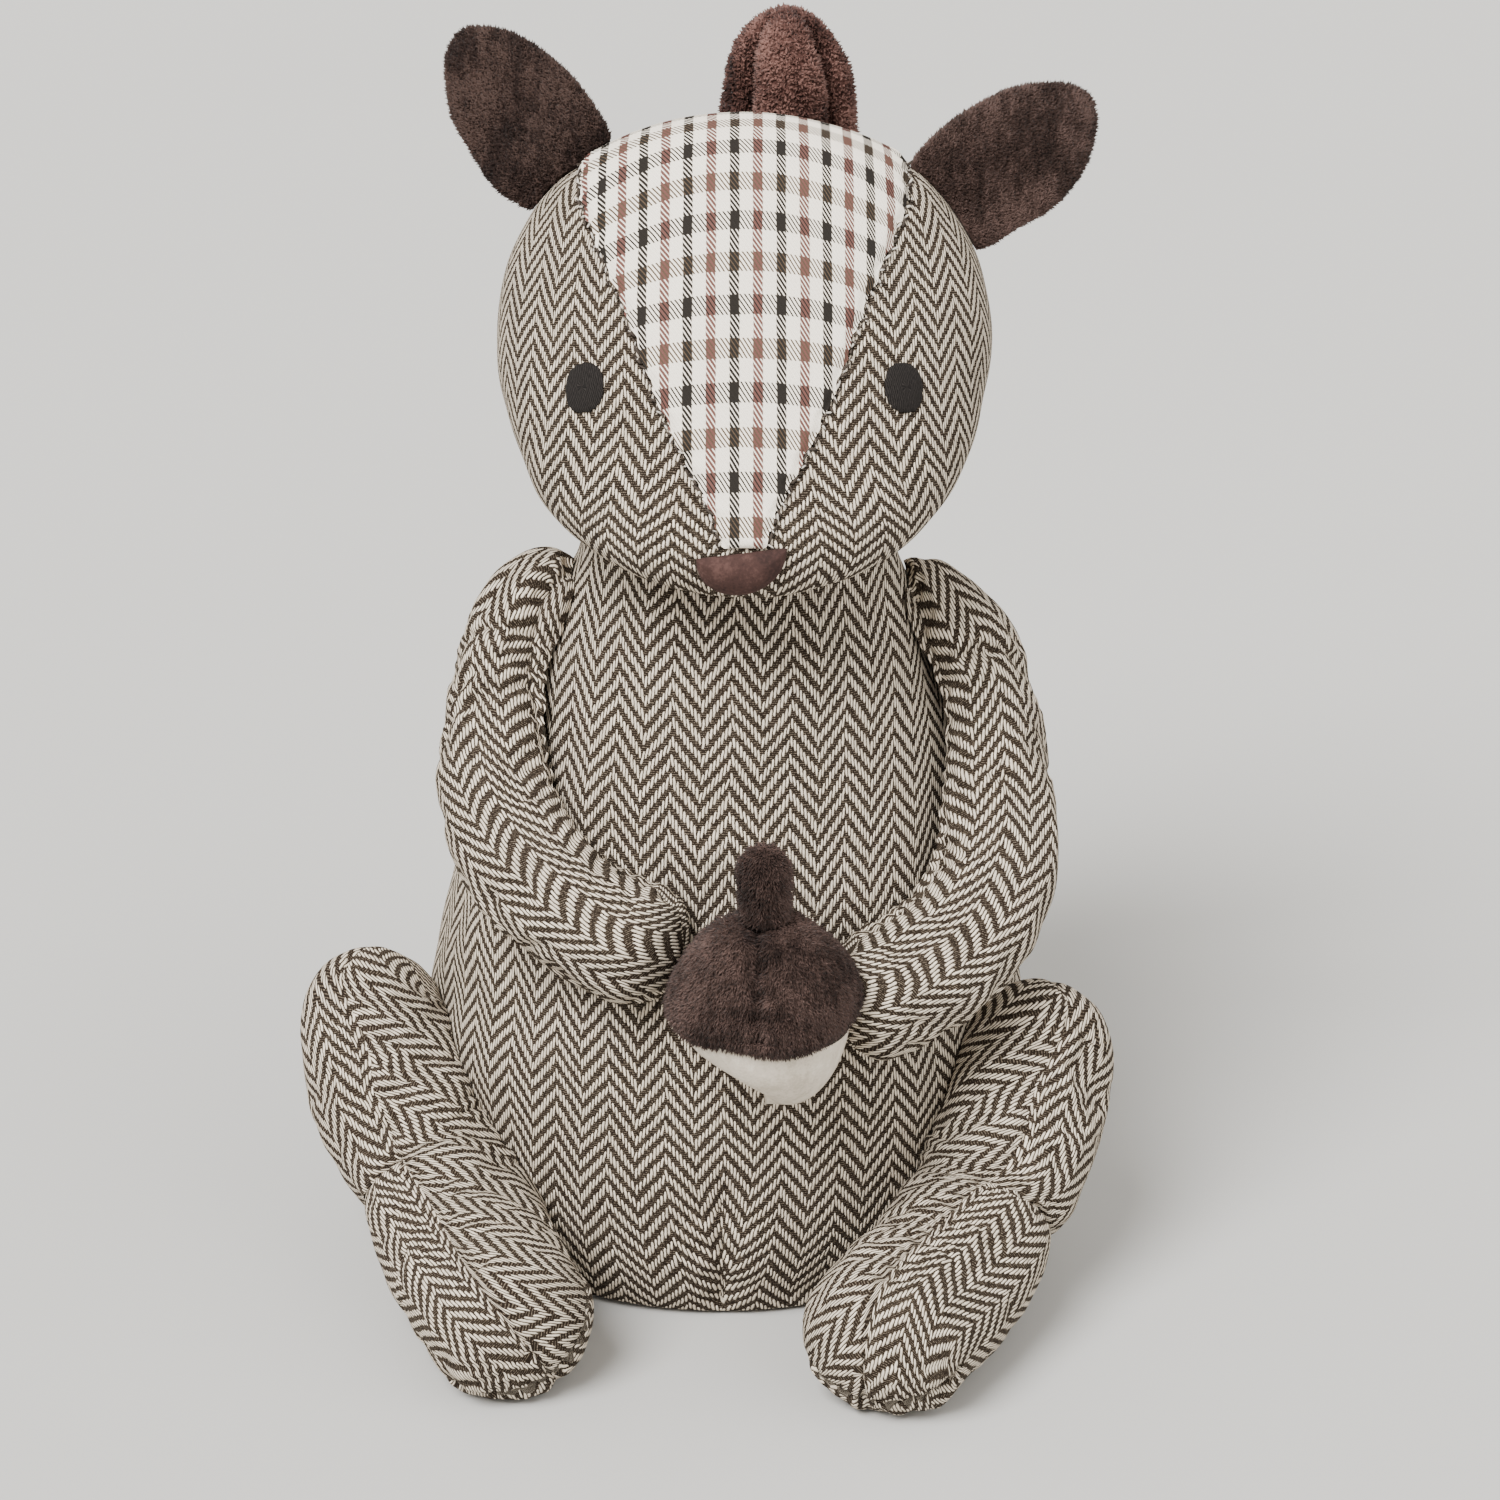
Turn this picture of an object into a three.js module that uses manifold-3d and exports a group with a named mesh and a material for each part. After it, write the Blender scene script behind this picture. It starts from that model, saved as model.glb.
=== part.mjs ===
// Weighted door stop: a sitting squirrel sewn from tweed, check cotton and plush.
// Millimetres, +Z up, front towards -Y, origin at the middle of the flat base.

import * as THREE from 'three';
import { mergeVertices } from 'three/addons/utils/BufferGeometryUtils.js';
import Module from 'manifold-3d';

const wasm = await Module();
wasm.setup();

// Clearance left between pieces that are sewn or pressed together
const SEAT_GAP = 0.3;

// Head: wide cheeks round a straight brow that runs down to a low, blunt snout
const HEAD_HALF_WIDTH = 52.6;
const HEAD_HALF_HEIGHT = 44.6;
const SNOUT_REACH = 67;
const HEAD_BACK_REACH = 44.4;
const HEAD_LEVEL = 207.7;
const HEAD_SETBACK = 2.8;
const HEAD_SHIFT = 4.8;
const SNOUT_DROP = degrees(30);
const CHEEK_TAPER = 0.07;
const CHEEK_FULLNESS = 0.16;
const BROW_TAPER = 0.356;
const BROW_FLATNESS = 0.205;
const SNOUT_BLUNTNESS = 0.2;

// Body: round belly, tapering chest, and a neck that closes inside the head
const BASE_RADIUS = 55;
const BELLY_RADIUS = 66.5;
const BELLY_LEVEL = 48;
const CHEST_RADIUS = 48;
const CHEST_LEVEL = 127;
const NECK_RADIUS = 33;
const NECK_BELOW_HEAD = 35.7;
const NECK_CROWN = 14;
const BODY_DEPTH_RATIO = 0.93;
const BODY_LEAN = 3.2;
const DART_HEIGHT = 42;
const DART_WIDTH = 4;
const DART_DEPTH = 2.2;

// Base: bottom panel sewn in a little inside the edge, and the sand bag on top of it
const PANEL_INSET = 5;
const PANEL_THICKNESS = 2;
const BAG_INSET = 3;
const BAG_FOOT_INSET = 9;
const BAG_SIDE_LEVEL = 12;
const BAG_HEIGHT = 90;

// Forehead patch, eyes and nose, set out on the head from the tip of the snout
const PATCH_THICKNESS = 0.9;
const PATCH_SINK = 1.5;
const PATCH_TIP_HALF_WIDTH = 4.8;
const PATCH_BROW_HALF_WIDTH = 20.5;
const PATCH_TOP_HALF_WIDTH = 34;
const PATCH_MOST_OF_WIDTH = 0.93;
const PATCH_START = degrees(17);
const PATCH_BROW = degrees(62);
const PATCH_WIDEST = degrees(103);
const PATCH_END = degrees(150);
const EYE_WIDTH = 10;
const EYE_HEIGHT = 10.4;
const EYE_THICKNESS = 1;
const EYE_SPREAD = degrees(45);
const EYE_POLAR = degrees(61);
const NOSE_WIDTH = 18.5;
const NOSE_TOP_RISE = 4.6;
const NOSE_LOWER_DROP = 6.9;
const NOSE_POLAR = degrees(5.7);
const NOSE_TILT = degrees(7);
const NOSE_THICKNESS = 2.6;
const PAD_EDGE = 0.2;
const PAD_SQUARENESS = 0.8;

// Ears: leaf-shaped plush, cupped towards the front
const EAR_LENGTH = 47;
const EAR_WIDTH = 28;
const EAR_THICKNESS = 8;
const EAR_CUP = 3;
const EAR_ROOT_DEPTH = 9;
const EAR_WIDEST = 0.4;
const EAR_POLAR = degrees(125);
const EAR_BACK_TILT = degrees(2);
const EAR_FACE_TILT = 0.25;
const LEFT_EAR = { turn: degrees(144), splay: degrees(-36.2) };
const RIGHT_EAR = { turn: degrees(24), splay: degrees(52.7) };

// Acorn: plush cap and stem over a suede nut, held against the belly
const ACORN_LEVEL = 86;
const ACORN_SHIFT = 9;
const CAP_RADIUS = 20.3;
const CAP_HEIGHT = 20;
const CAP_LIP = 5;
const NUT_RADIUS = 18.2;
const NUT_HEIGHT = 18;
const NUT_CROWN = 10.8;
const STEM_RADIUS = 5.7;
const STEM_SINK = 5;
const STEM_LENGTH = 21;

// Tail: plush, following the back and drawn into pleats at its tip
const TAIL_RADIUS = 24;
const TAIL_TIP_RADIUS = 13;
const TAIL_FOLDS = 7;
const TAIL_FOLD_DEPTH = 0.32;
const TAIL_FOLD_DRIFT = 1.2;
const TAIL_NAP = 2;
const TAIL_ROOT_CAP = 12;
const TAIL_TIP_CAP = 15;

// Limbs: stuffed tubes, gathered at the shoulders and toes and creased at the knees
const ARM_RADIUS = 13.7;
const SHOULDER_RADIUS = 11.5;
const PAW_RADIUS = 13;
const SHOULDER_CAP = 10;
const PAW_CAP = 11;
const LEG_RADIUS = 17.6;
const HIP_RADIUS = 16.6;
const FOOT_RADIUS = 17;
const HIP_CAP = 15;
const TOE_CAP = 12;
const KNEE_PLACE = 0.46;
const KNEE_PINCH = 0.16;
const GATHER_DEPTH = 0.9;
const GATHER_COUNT = 9;
const SEAM_DEPTH = 0.7;

// Arm routes: azimuth on the body in degrees, share of the way up from the acorn to
// the neck, and how deep the arm is pressed into the body, as a share of its radius
const LEFT_ARM_ROUTE = [
  [-176, 0.756, 1.51], [-172, 0.721, 0.745], [-165, 0.593, 0.56], [-153, 0.419, 0.6],
  [-139, 0.267, 0.49], [-123, 0.163, 0.38], [-109, 0.099, 0.31], [-98, 0.058, 0.23]
];
const RIGHT_ARM_ROUTE = [
  [2, 0.709, 1.58], [-5, 0.686, 0.78], [-10, 0.558, 0.45], [-20, 0.326, 0.38],
  [-32, 0.14, 0.31], [-45, 0.023, 0.27], [-59, -0.041, 0.27], [-72, -0.07, 0.2]
];

// Leg routes: azimuth on the body in degrees, height above a foot that lies on the
// floor, and how deep the leg is pressed into the body, both as shares of its radius
const LEFT_LEG_ROUTE = [
  [-178, 2.5, 0.6], [-170, 2.05, 0.32], [-159, 1.25, 0.375], [-145, 0.51, 0.4],
  [-131, 0.085, -0.14], [-117, -0.03, -1.1], [-111, -0.11, -1.7]
];
const RIGHT_LEG_ROUTE = [
  [-16, 2.5, 0.77], [-25, 2.05, 0.49], [-35, 1.19, 0.375], [-46, 0.4, 0.09],
  [-60, 0.03, -0.53], [-71, -0.06, -1.39], [-75, -0.17, -1.95]
];

// Tail route up the back: azimuth in degrees, share of the way up to the neck, and gap
// to the back as a share of the tail's radius
const TAIL_UP_BACK = [[90, 0.058, -1.08], [90, 0.174, -0.33], [91, 0.407, -0.04], [91, 0.669, 0.21]];

// Tail route behind the head: shift and gap as shares of the tail's radius, and height
// from the middle of the head as a share of the head's half height
const TAIL_UP_HEAD = [[0.29, -0.17, -0.85], [0.4, -0.08, 0.18], [0.42, -0.17, 0.81], [0.4, -0.29, 1.31]];

// Fineness of the skins: facets round and along each
const BODY_FACETS = [34, 20];
const HEAD_FACETS = [34, 20];
const PATCH_FACETS = [10, 18];
const PAD_ROWS = 6;
const LIMB_FACETS = [18, 22];
const TAIL_FACETS = [28, 20];
const EAR_FACETS = [16, 12];
const CAP_ROWS_OF_TUBE = 4;

function degrees(angle) {
  return angle * Math.PI / 180;
}

// Smooth curve of a value through stations [position, value]
function smooth(stations) {
  const positions = stations.map(([position]) => position);
  const values = stations.map(([, value]) => value);
  const curve = new THREE.CubicInterpolant(positions, values, 1);
  curve.settings = { endingStart: THREE.ZeroSlopeEnding, endingEnd: THREE.ZeroSlopeEnding };
  return (position) => curve.evaluate(position)[0];
}

// Bell-shaped bump of height 1 and the given width
function bump(distance, width) {
  return Math.exp(-((distance / width) ** 2));
}

// Moves every vertex of a geometry to the place worked out from its own place and uv
function reshape(geometry, place) {
  const { position, uv } = geometry.attributes;
  const point = new THREE.Vector3();
  for (let i = 0; i < position.count; i += 1) {
    point.fromBufferAttribute(position, i);
    const moved = place(point, uv.getX(i), uv.getY(i));
    position.setXYZ(i, moved.x, moved.y, moved.z);
  }
  return geometry;
}

function toSolid(geometry) {
  geometry.deleteAttribute('normal');
  geometry.deleteAttribute('uv');
  const merged = mergeVertices(geometry, 1e-4);
  const vertProperties = new Float32Array(merged.attributes.position.array);
  const triVerts = new Uint32Array(merged.index.array);
  return new wasm.Manifold(new wasm.Mesh({ numProp: 3, vertProperties, triVerts }));
}

function toMesh(name, solid, material) {
  const { vertProperties, triVerts } = solid.getMesh();
  const geometry = new THREE.BufferGeometry();
  geometry.setAttribute('position', new THREE.BufferAttribute(vertProperties, 3));
  geometry.setIndex(new THREE.BufferAttribute(triVerts, 1));
  geometry.computeVertexNormals();
  const mesh = new THREE.Mesh(geometry, material);
  mesh.name = name;
  return mesh;
}

// Stuffed skin without an edge: place(turn, rise) gives each point, with the turn in
// radians round the axis and the rise from 0 at one pole to 1 at the other
function stuffedSkin([around, along], place) {
  const sphere = new THREE.SphereGeometry(1, around, along);
  return toSolid(reshape(sphere, (point, u, v) => place(u * 2 * Math.PI, v)));
}

// Turned skin from a closed profile of [radius, height] points
function turnedSkin(profile, around) {
  const lathe = new THREE.LatheGeometry(profile.map(([r, z]) => new THREE.Vector2(r, z)), around);
  lathe.rotateX(Math.PI / 2);
  return toSolid(lathe);
}

// Body surface
const NECK_LEVEL = HEAD_LEVEL - NECK_BELOW_HEAD;
const FRONT = degrees(270);

const bodyTaper = smooth([
  [BELLY_LEVEL, BELLY_RADIUS],
  [CHEST_LEVEL, CHEST_RADIUS],
  [NECK_LEVEL, NECK_RADIUS]
]);

function bodyRadius(height) {
  if (height < BELLY_LEVEL) {
    const drop = 1 - Math.max(height, 0) / BELLY_LEVEL;
    return BASE_RADIUS + (BELLY_RADIUS - BASE_RADIUS) * Math.sqrt(1 - drop * drop);
  }
  return bodyTaper(Math.min(height, NECK_LEVEL));
}

function bodyMiddle(height) {
  return BODY_LEAN * (height / NECK_LEVEL) ** 2;
}

function bodyPlace(turn, height, standOff = 0) {
  const radius = bodyRadius(height) + standOff;
  const x = bodyMiddle(height) + radius * Math.cos(turn);
  const y = BODY_DEPTH_RATIO * radius * Math.sin(turn);
  return new THREE.Vector3(x, y, height);
}

function dartDepth(turn, height) {
  const aside = BELLY_RADIUS * (turn - FRONT);
  const fade = THREE.MathUtils.smoothstep(DART_HEIGHT - height, 0, DART_HEIGHT / 3);
  return DART_DEPTH * fade * bump(aside, DART_WIDTH);
}

// Rows of the body skin: across the flat base, up the sides, and over the closed neck.
// Facets crowd towards the dart in front, and rows towards the base.
function bodySkin(grow = 0) {
  const rows = BODY_FACETS[1];
  const neckRow = rows - 3;
  const frontCrowding = 0.55;
  const baseCrowding = 1.25;
  return stuffedSkin(BODY_FACETS, (angle, rise) => {
    const turn = angle - frontCrowding * Math.sin(angle - FRONT);
    const row = Math.round(rise * rows);
    if (row === 0) {
      return new THREE.Vector3(0, 0, -grow);
    }
    if (row <= neckRow) {
      const height = NECK_LEVEL * ((row - 1) / (neckRow - 1)) ** baseCrowding;
      const place = bodyPlace(turn, height, grow - dartDepth(turn, height));
      place.z -= row === 1 ? grow : 0;
      return place;
    }
    const over = (row - neckRow) / (rows - neckRow) * Math.PI / 2;
    const inward = (1 - Math.cos(over)) * (NECK_RADIUS + grow);
    const place = bodyPlace(turn, NECK_LEVEL, grow - inward);
    return place.setZ(NECK_LEVEL + (NECK_CROWN + grow) * Math.sin(over));
  });
}

// Base panel and sand bag, oval like the body
function ovalToBody(solid) {
  return solid.scale([1, BODY_DEPTH_RATIO, 1]);
}

const PANEL_RADIUS = BASE_RADIUS - PANEL_INSET;

function basePanel(grow = 0) {
  const radius = PANEL_RADIUS + grow;
  const top = PANEL_THICKNESS + grow;
  const foot = -2 * grow;
  return ovalToBody(turnedSkin([[0, foot], [radius, foot], [radius, top], [0, top]], 30));
}

function sandBag(grow = 0) {
  const foot = PANEL_THICKNESS + SEAT_GAP - grow;
  const sideRadius = PANEL_RADIUS - BAG_INSET + grow;
  const footRadius = PANEL_RADIUS - BAG_FOOT_INSET;
  const side = BAG_SIDE_LEVEL + grow;
  const crown = BAG_HEIGHT - BAG_SIDE_LEVEL + grow;
  const profile = [[0, foot]];
  const steps = 4;
  for (let step = 0; step < steps; step += 1) {
    const swing = step / steps * Math.PI / 2;
    const radius = footRadius + (sideRadius - footRadius) * Math.sin(swing);
    profile.push([radius, foot + side * (1 - Math.cos(swing))]);
  }
  for (let step = 0; step < 2 * steps; step += 1) {
    const swing = step / (2 * steps) * Math.PI / 2;
    profile.push([sideRadius * Math.cos(swing), foot + side + crown * Math.sin(swing)]);
  }
  profile.push([0, foot + side + crown]);
  return ovalToBody(turnedSkin(profile, 16));
}

// Head surface, measured from the tip of the snout (polar 0) to the back of the head
const snoutAxis = new THREE.Vector3(0, -Math.cos(SNOUT_DROP), -Math.sin(SNOUT_DROP));
const browAxis = new THREE.Vector3(0, -Math.sin(SNOUT_DROP), Math.cos(SNOUT_DROP));
const headMiddle = new THREE.Vector3(HEAD_SHIFT, -HEAD_SETBACK, HEAD_LEVEL);

function headReach(along) {
  return along > 0 ? SNOUT_REACH : HEAD_BACK_REACH;
}

// Half width and half height of the head at a share of the way to the snout
function headHalfWidth(along) {
  return HEAD_HALF_WIDTH * (1 - CHEEK_TAPER * along + CHEEK_FULLNESS * along ** 2);
}

function headHalfHeight(along) {
  const blunt = SNOUT_BLUNTNESS * Math.max(along, 0) ** 8;
  return HEAD_HALF_HEIGHT * (1 - BROW_TAPER * along - BROW_FLATNESS * along ** 2 + blunt);
}

// Below 1 inside the head, 1 on its surface
function headFill(place) {
  const local = place.clone().sub(headMiddle);
  const reach = local.dot(snoutAxis);
  const along = THREE.MathUtils.clamp(reach / headReach(reach), -1, 1);
  const wide = local.x / headHalfWidth(along);
  const tall = local.dot(browAxis) / headHalfHeight(along);
  return wide ** 2 + tall ** 2 + (reach / headReach(reach)) ** 2;
}

function headNormal(place) {
  const step = 0.05;
  const slope = (x, y, z) => {
    const ahead = headFill(place.clone().add(new THREE.Vector3(x, y, z)));
    return ahead - headFill(place.clone().sub(new THREE.Vector3(x, y, z)));
  };
  return new THREE.Vector3(slope(step, 0, 0), slope(0, step, 0), slope(0, 0, step)).normalize();
}

function headPlace(turn, polar, standOff = 0) {
  const along = Math.cos(polar);
  const place = headMiddle.clone();
  place.x += headHalfWidth(along) * Math.sin(polar) * Math.cos(turn);
  place.addScaledVector(browAxis, headHalfHeight(along) * Math.sin(polar) * Math.sin(turn));
  place.addScaledVector(snoutAxis, headReach(along) * along);
  return place.addScaledVector(headNormal(place), standOff);
}

// Place on the head by a distance to the side of its middle line
function browPlace(aside, polar, standOff) {
  const half = headHalfWidth(Math.cos(polar)) * Math.sin(polar);
  return headPlace(Math.acos(THREE.MathUtils.clamp(aside / half, -1, 1)), polar, standOff);
}

function headSkin(grow = 0) {
  return stuffedSkin(HEAD_FACETS, (turn, rise) => headPlace(turn, (1 - rise) * Math.PI, grow));
}

// Check patch from the nose over the crown: a thin slab bent over the head. Its inner
// face lies a little inside the head, which then cuts it to its own surface.
const patchTaper = smooth([
  [PATCH_START, PATCH_TIP_HALF_WIDTH],
  [PATCH_BROW, PATCH_BROW_HALF_WIDTH],
  [PATCH_WIDEST, PATCH_TOP_HALF_WIDTH]
]);

function patchHalfWidth(polar) {
  const most = PATCH_MOST_OF_WIDTH * headHalfWidth(Math.cos(polar)) * Math.sin(polar);
  return Math.min(patchTaper(Math.min(polar, PATCH_WIDEST)), most);
}

function foreheadPatch(grow = 0) {
  const slab = new THREE.BoxGeometry(2, 1, 1, ...PATCH_FACETS, 1);
  return toSolid(reshape(slab, (point) => {
    const polar = PATCH_START + (PATCH_END - PATCH_START) * (point.y + 0.5);
    const crowd = Math.sin(point.x * Math.PI / 2);
    const standOff = point.z > 0 ? SEAT_GAP + PATCH_THICKNESS + grow : -PATCH_SINK;
    return browPlace(crowd * (patchHalfWidth(polar) + grow), polar, standOff);
  }));
}

// Nearest place on the head below a point, going in against the outward direction
function dropOnHead(point, out) {
  let above = point.clone().addScaledVector(out, HEAD_HALF_HEIGHT);
  let below = point.clone().addScaledVector(out, -HEAD_HALF_HEIGHT / 2);
  for (let halving = 0; halving < 24; halving += 1) {
    const middle = above.clone().add(below).multiplyScalar(0.5);
    if (headFill(middle) > 1) above = middle;
    else below = middle;
  }
  return below;
}

// Domed pad lying on the head: outline(angle) gives [aside, up] in mm from its middle
function headPad(turn, polar, thickness, outline, around) {
  const middle = headPlace(turn, polar);
  const out = headNormal(middle);
  const side = new THREE.Vector3(1, 0, 0).addScaledVector(out, -out.x).normalize();
  const up = new THREE.Vector3().crossVectors(out, side);
  return stuffedSkin([around, PAD_ROWS], (angle, rise) => {
    const spread = Math.sin(rise * Math.PI) ** PAD_SQUARENESS;
    const [aside, raise] = outline(angle);
    const flat = middle.clone().addScaledVector(side, aside * spread).addScaledVector(up, raise * spread);
    const foot = dropOnHead(flat, out);
    const lift = rise > 0.5 ? thickness * Math.sqrt(1 - spread * spread) : 0;
    return foot.addScaledVector(headNormal(foot), SEAT_GAP + PAD_EDGE + lift);
  });
}

function eyePad(spread) {
  const outline = (angle) => [EYE_WIDTH / 2 * Math.cos(angle), EYE_HEIGHT / 2 * Math.sin(angle)];
  return headPad(Math.PI / 2 + spread, EYE_POLAR, EYE_THICKNESS, outline, 16);
}

// Half-moon nose: a nearly straight top edge over a round lower one
function nosePad() {
  const outline = (angle) => {
    const swing = Math.sin(angle);
    const raise = (swing < 0 ? NOSE_LOWER_DROP : NOSE_TOP_RISE) * swing;
    const aside = NOSE_WIDTH / 2 * Math.cos(angle);
    return [
      aside * Math.cos(NOSE_TILT) - raise * Math.sin(NOSE_TILT),
      raise * Math.cos(NOSE_TILT) + aside * Math.sin(NOSE_TILT)
    ];
  };
  return headPad(Math.PI / 2, NOSE_POLAR, NOSE_THICKNESS, outline, 20);
}

// Stuffed tube along a route, with a round cap at each end. Each ring is set out
// from the given outward direction, and shape scales it at (along, angle).
function stuffedTube({ route, radius, caps, outward, shape, facets, grow = 0 }) {
  const line = new THREE.CatmullRomCurve3(route, false, 'centripetal');
  const length = line.getLength();
  const [startCap, endCap] = caps.map((cap) => cap / length);
  const capShare = CAP_ROWS_OF_TUBE / facets[1];
  return stuffedSkin(facets, (angle, rise) => {
    let run = startCap + (1 - startCap - endCap) * (rise - capShare) / (1 - 2 * capShare);
    let swell = 1;
    if (rise < capShare) {
      const bend = rise / capShare * Math.PI / 2;
      run = startCap * (1 - Math.cos(bend));
      swell = Math.sin(bend);
    }
    if (rise > 1 - capShare) {
      const bend = (1 - rise) / capShare * Math.PI / 2;
      run = 1 - endCap * (1 - Math.cos(bend));
      swell = Math.sin(bend);
    }
    const tangent = line.getTangentAt(run);
    const out = outward(line.getPointAt(run));
    out.addScaledVector(tangent, -out.dot(tangent)).normalize();
    const side = new THREE.Vector3().crossVectors(tangent, out);
    const reach = swell * (radius(run) * shape(run, angle) + grow);
    const place = line.getPointAt(run)
      .addScaledVector(out, reach * Math.cos(angle))
      .addScaledVector(side, reach * Math.sin(angle));
    place.addScaledVector(tangent, grow * (2 * rise - 1) * (1 - swell));
    place.z = Math.max(place.z, -grow);
    return place;
  });
}

function awayFromBody(place) {
  const out = new THREE.Vector3(place.x - bodyMiddle(place.z), place.y, 0);
  return out.normalize();
}

function gathers(fromEnd, fade, angle) {
  return GATHER_DEPTH * bump(fromEnd, fade) * Math.cos(GATHER_COUNT * angle);
}

// Pleats of the gathered shoulder, fading down the arm, and a lengthwise seam
function armShape(run, angle) {
  const seam = SEAM_DEPTH * bump(angle - Math.PI, 0.25);
  return 1 - (gathers(run, 0.2, angle) + seam) / ARM_RADIUS;
}

function arm(stations, grow = 0) {
  const reach = NECK_LEVEL - ACORN_LEVEL;
  const route = stations.map(([azimuth, share, pressed]) =>
    bodyPlace(degrees(azimuth), ACORN_LEVEL + share * reach, ARM_RADIUS * (1 - pressed)));
  return stuffedTube({
    route,
    radius: smooth([[0, SHOULDER_RADIUS], [0.45, ARM_RADIUS], [0.85, PAW_RADIUS], [1, PAW_RADIUS]]),
    caps: [SHOULDER_CAP, PAW_CAP],
    outward: awayFromBody,
    shape: armShape,
    facets: LIMB_FACETS,
    grow
  });
}

// Top seam along the leg, the crease where the knee bends, and the gathered toe
function legShape(run, angle) {
  const fromTop = Math.min(angle, 2 * Math.PI - angle);
  const seam = SEAM_DEPTH * bump(fromTop, 0.3);
  const topShare = 0.55 + 0.45 * Math.cos(fromTop);
  const knee = KNEE_PINCH * topShare * bump(run - KNEE_PLACE, 0.045);
  return 1 - knee - (seam + gathers(1 - run, 0.05, angle)) / LEG_RADIUS;
}

function leg(stations, grow = 0) {
  const route = stations.map(([azimuth, rise, pressed]) =>
    bodyPlace(degrees(azimuth), FOOT_RADIUS + rise * LEG_RADIUS, LEG_RADIUS * (1 - pressed)));
  return stuffedTube({
    route,
    radius: smooth([[0, HIP_RADIUS], [0.3, LEG_RADIUS], [0.75, LEG_RADIUS], [1, FOOT_RADIUS]]),
    caps: [HIP_CAP, TOE_CAP],
    outward: () => new THREE.Vector3(0, 0, 1),
    shape: legShape,
    facets: LIMB_FACETS,
    grow
  });
}

// Tail up the back, with folds that deepen towards the gathered tip
function tailRoute() {
  const clear = TAIL_RADIUS - TAIL_NAP;
  const upBack = TAIL_UP_BACK.map(([azimuth, share, gap]) =>
    bodyPlace(degrees(azimuth), share * NECK_LEVEL, clear + gap * TAIL_RADIUS));
  const upHead = TAIL_UP_HEAD.map(([shift, gap, height]) => new THREE.Vector3(
    HEAD_SHIFT + shift * TAIL_RADIUS,
    HEAD_HALF_HEIGHT + clear + gap * TAIL_RADIUS,
    HEAD_LEVEL + height * HEAD_HALF_HEIGHT
  ));
  return [...upBack, ...upHead];
}

function tailShape(run, angle) {
  const ridge = Math.abs(Math.sin(angle * TAIL_FOLDS / 2 + TAIL_FOLD_DRIFT * Math.sin(angle)));
  const deepening = 0.12 + 0.88 * THREE.MathUtils.smoothstep(run, 0.55, 0.97);
  return 1 - TAIL_FOLD_DEPTH * deepening * (1 - ridge) ** 1.5;
}

function tail(grow = 0) {
  const rootRadius = 0.6 * TAIL_RADIUS;
  const midway = (TAIL_RADIUS + TAIL_TIP_RADIUS) / 2;
  return stuffedTube({
    route: tailRoute(),
    radius: smooth([
      [0, rootRadius],
      [0.3, TAIL_RADIUS - 1],
      [0.55, TAIL_RADIUS],
      [0.8, midway],
      [0.92, TAIL_TIP_RADIUS + 2],
      [1, TAIL_TIP_RADIUS]
    ]),
    caps: [TAIL_ROOT_CAP, TAIL_TIP_CAP],
    outward: () => new THREE.Vector3(0, 1, 0),
    shape: tailShape,
    facets: TAIL_FACETS,
    grow
  });
}

// Ear as a stuffed leaf from a root inside the head, facing a little inwards
function ear({ turn, splay }) {
  const root = headPlace(turn, EAR_POLAR, -EAR_ROOT_DEPTH);
  const axis = new THREE.Vector3(
    Math.sin(splay) * Math.cos(EAR_BACK_TILT),
    Math.sin(EAR_BACK_TILT),
    Math.cos(splay) * Math.cos(EAR_BACK_TILT)
  );
  const front = new THREE.Vector3(Math.sign(splay) * EAR_FACE_TILT, -1, EAR_FACE_TILT);
  front.addScaledVector(axis, -front.dot(axis)).normalize();
  const side = new THREE.Vector3().crossVectors(axis, front);
  return stuffedSkin(EAR_FACETS, (angle, rise) => {
    const run = 0.5 - 0.5 * Math.cos(rise * Math.PI);
    const fromWidest = Math.abs(run - EAR_WIDEST) / (run < EAR_WIDEST ? EAR_WIDEST : 1 - EAR_WIDEST);
    const leaf = (1 - fromWidest ** 2.6) ** 0.6;
    const aside = EAR_WIDTH / 2 * leaf * Math.sin(angle);
    const cup = EAR_CUP * (1 - (2 * aside / EAR_WIDTH) ** 2);
    const puff = EAR_THICKNESS / 2 * leaf * Math.cos(angle);
    return root.clone()
      .addScaledVector(axis, run * EAR_LENGTH)
      .addScaledVector(side, aside)
      .addScaledVector(front, puff - cup);
  });
}

// Acorn pieces stand on one upright axis just in front of the belly
const acornFoot = bodyPlace(FRONT, ACORN_LEVEL, CAP_RADIUS).setX(ACORN_SHIFT);

function onAcorn(radius, angle, height) {
  const x = acornFoot.x + radius * Math.cos(angle);
  const y = acornFoot.y + radius * Math.sin(angle);
  return new THREE.Vector3(x, y, ACORN_LEVEL + height);
}

// Rounded skin on the acorn's axis, with its own height and squareness above and below
function acornSkin(facets, radius, above, below, grow) {
  return stuffedSkin(facets, (angle, rise) => {
    const swing = (rise - 0.5) * Math.PI;
    const half = swing > 0 ? above : below;
    const width = radius * Math.cos(swing) ** half.squareness + grow * Math.cos(swing);
    return onAcorn(width, angle, (half.height + grow) * Math.sin(swing));
  });
}

function acornCap(grow = 0) {
  const dome = { height: CAP_HEIGHT, squareness: 0.9 };
  const lip = { height: CAP_LIP, squareness: 0.6 };
  return acornSkin([22, 12], CAP_RADIUS, dome, lip, grow);
}

function acornNut(grow = 0) {
  const crown = { height: NUT_CROWN, squareness: 0.85 };
  const bowl = { height: NUT_HEIGHT, squareness: 0.85 };
  return acornSkin([20, 10], NUT_RADIUS, crown, bowl, grow);
}

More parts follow.
